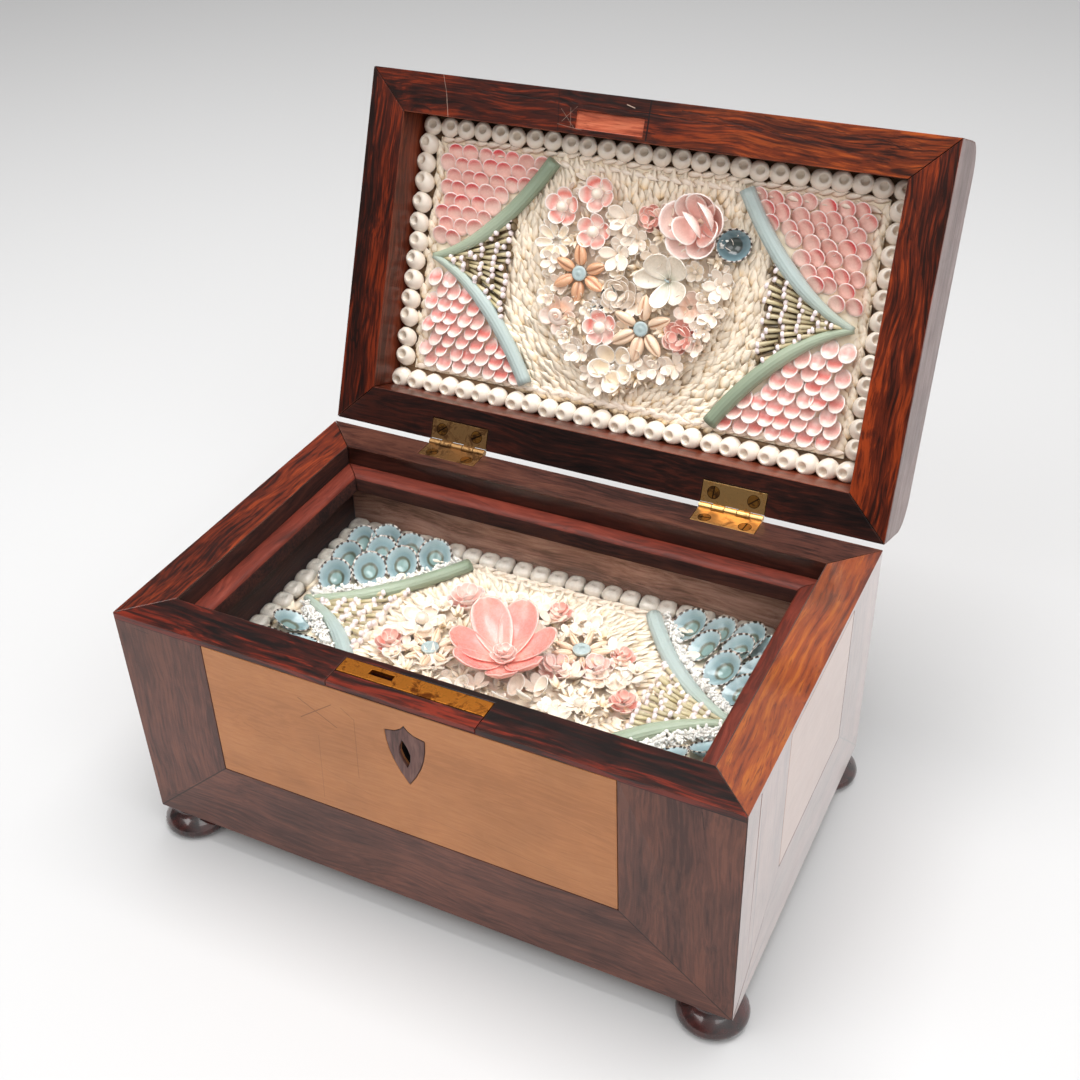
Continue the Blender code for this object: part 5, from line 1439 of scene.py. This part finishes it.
# Two screws through each hinge leaf, slots left as they were turned.
def driveScrews():
    columns = (-85.6, -65.2, 65.2, 85.6)
    for body, t, h, turns in (("case", 85.1, 49.98, (35, 60, 8, 84)),
                              ("lid", -86.6, 25.98, (40, 30, 88, 40))):
        heads = [spot(x, t, h, turn, size=(3.0, 3.0, 0.45)) for x, turn in zip(columns, turns)]
        # The slot floors take the dark slot finish, painted shade in the slots.
        floors = [spot(x, t, h, size=(3.3, 3.3, 0.45)) for x in columns]
        joinPiece(body + "_hinge_screws", [layShells("screw", heads, "screw", 0, 0, 50),
                                           layShells("slotFloor", floors, "slot", 0, 0, 50)], body, "brass")


for job in (dressCaseWalls, dressLidRails, dressMetal, dressGlass, turnFeet, driveScrews, dressGrounds,
            makeLidPicture, makeCasePicture):
    job()
for shell in shells.values():
    bpy.data.objects.remove(shell)


# floor, light and camera

studio = {"near": 0.6, "far": 0.55, "sky": 0.95, "dim": 0.18, "floor": 6.0, "bright": (0.86, 0.0, 0.5)}
lamps = (("key", (-0.7, -1.1, 1.5), (0, 0, 0.15), 1.3, 1.0, 14.0),
         ("overhead", (0.0, 0.1, 1.7), (0, 0, 0.1), 1.4, 0.8, 25.0),
         ("right fill", (1.0, -0.8, 1.4), (0, 0, 0.1), 1.0, 0.8, 5.5))
view = {"lens": 49.43, "sensor": 36.0, "shift": (0.0208, -0.0614), "clip": (0.01, 50.0),
        "place": (0.26525, -0.52629, 0.53740), "across": (0.89151, 0.45145, -0.03741),
        "up": (-0.21428, 0.49302, 0.84322), "back": (0.39911, -0.74372, 0.53627)}


def setFloor():
    made, tree, sockets = newMaterial("paleFloor", **{"Roughness": 0.85, "Specular IOR Level": 0.2})
    place = objectPlace(tree)
    # Painted pool of light: the floor is a little lighter near the box and darker further off.
    shade = fade(vectors("LENGTH", place), 0.3, 1.7, studio["near"], studio["far"], smooth=False)
    shade = plus(shade, times(minus(noiseOn(place, 3.0, 2.0), 0.5), 0.004))
    grey = addNode(tree, "ShaderNodeCombineColor", {0: shade, 1: shade, 2: shade})
    feed(sockets["Base Color"], grey.outputs[0])
    shape, reach = bmesh.new(), studio["floor"]
    shape.faces.new([shape.verts.new((x * reach, y * reach, 0))
                     for x, y in ((-1, -1), (1, -1), (1, 1), (-1, 1))])
    finishShape(shape, "floor", made)


def setLight():
    world = bpy.data.worlds.new("studio")
    world.use_nodes = True
    tree = world.node_tree
    back = tree.nodes["Background"].inputs
    back["Color"].default_value = (1.0, 0.99, 0.99, 1.0)
    way = addNode(tree, "ShaderNodeTexCoord").outputs["Generated"]
    lean = vectors("DOT_PRODUCT", way, studio["bright"])
    feed(back["Strength"], fade(lean, -0.2, 0.9, studio["dim"], studio["sky"]))
    bpy.context.scene.world = world
    for name, place, target, width, height, power in lamps:
        lamp = bpy.data.lights.new(name, "AREA")
        lamp.shape = "RECTANGLE"
        lamp.size, lamp.size_y, lamp.energy = width, height, power
        holder = bpy.data.objects.new(name, lamp)
        holder.location = place
        holder.rotation_euler = (Vector(target) - Vector(place)).to_track_quat("-Z", "Y").to_euler()
        bpy.context.scene.collection.objects.link(holder)


def setCamera():
    lens = bpy.data.cameras.new("camera")
    lens.lens, lens.sensor_width = view["lens"], view["sensor"]
    lens.shift_x, lens.shift_y = view["shift"]
    lens.clip_start, lens.clip_end = view["clip"]
    camera = bpy.data.objects.new("camera", lens)
    turn = Matrix([view[axis] for axis in ("across", "up", "back")]).transposed().to_4x4()
    camera.matrix_world = Matrix.Translation(view["place"]) @ turn
    bpy.context.scene.collection.objects.link(camera)
    bpy.context.scene.camera = camera


setFloor()
setLight()
setCamera()
bpy.context.scene.view_settings.view_transform = "Standard"
print("stage set")
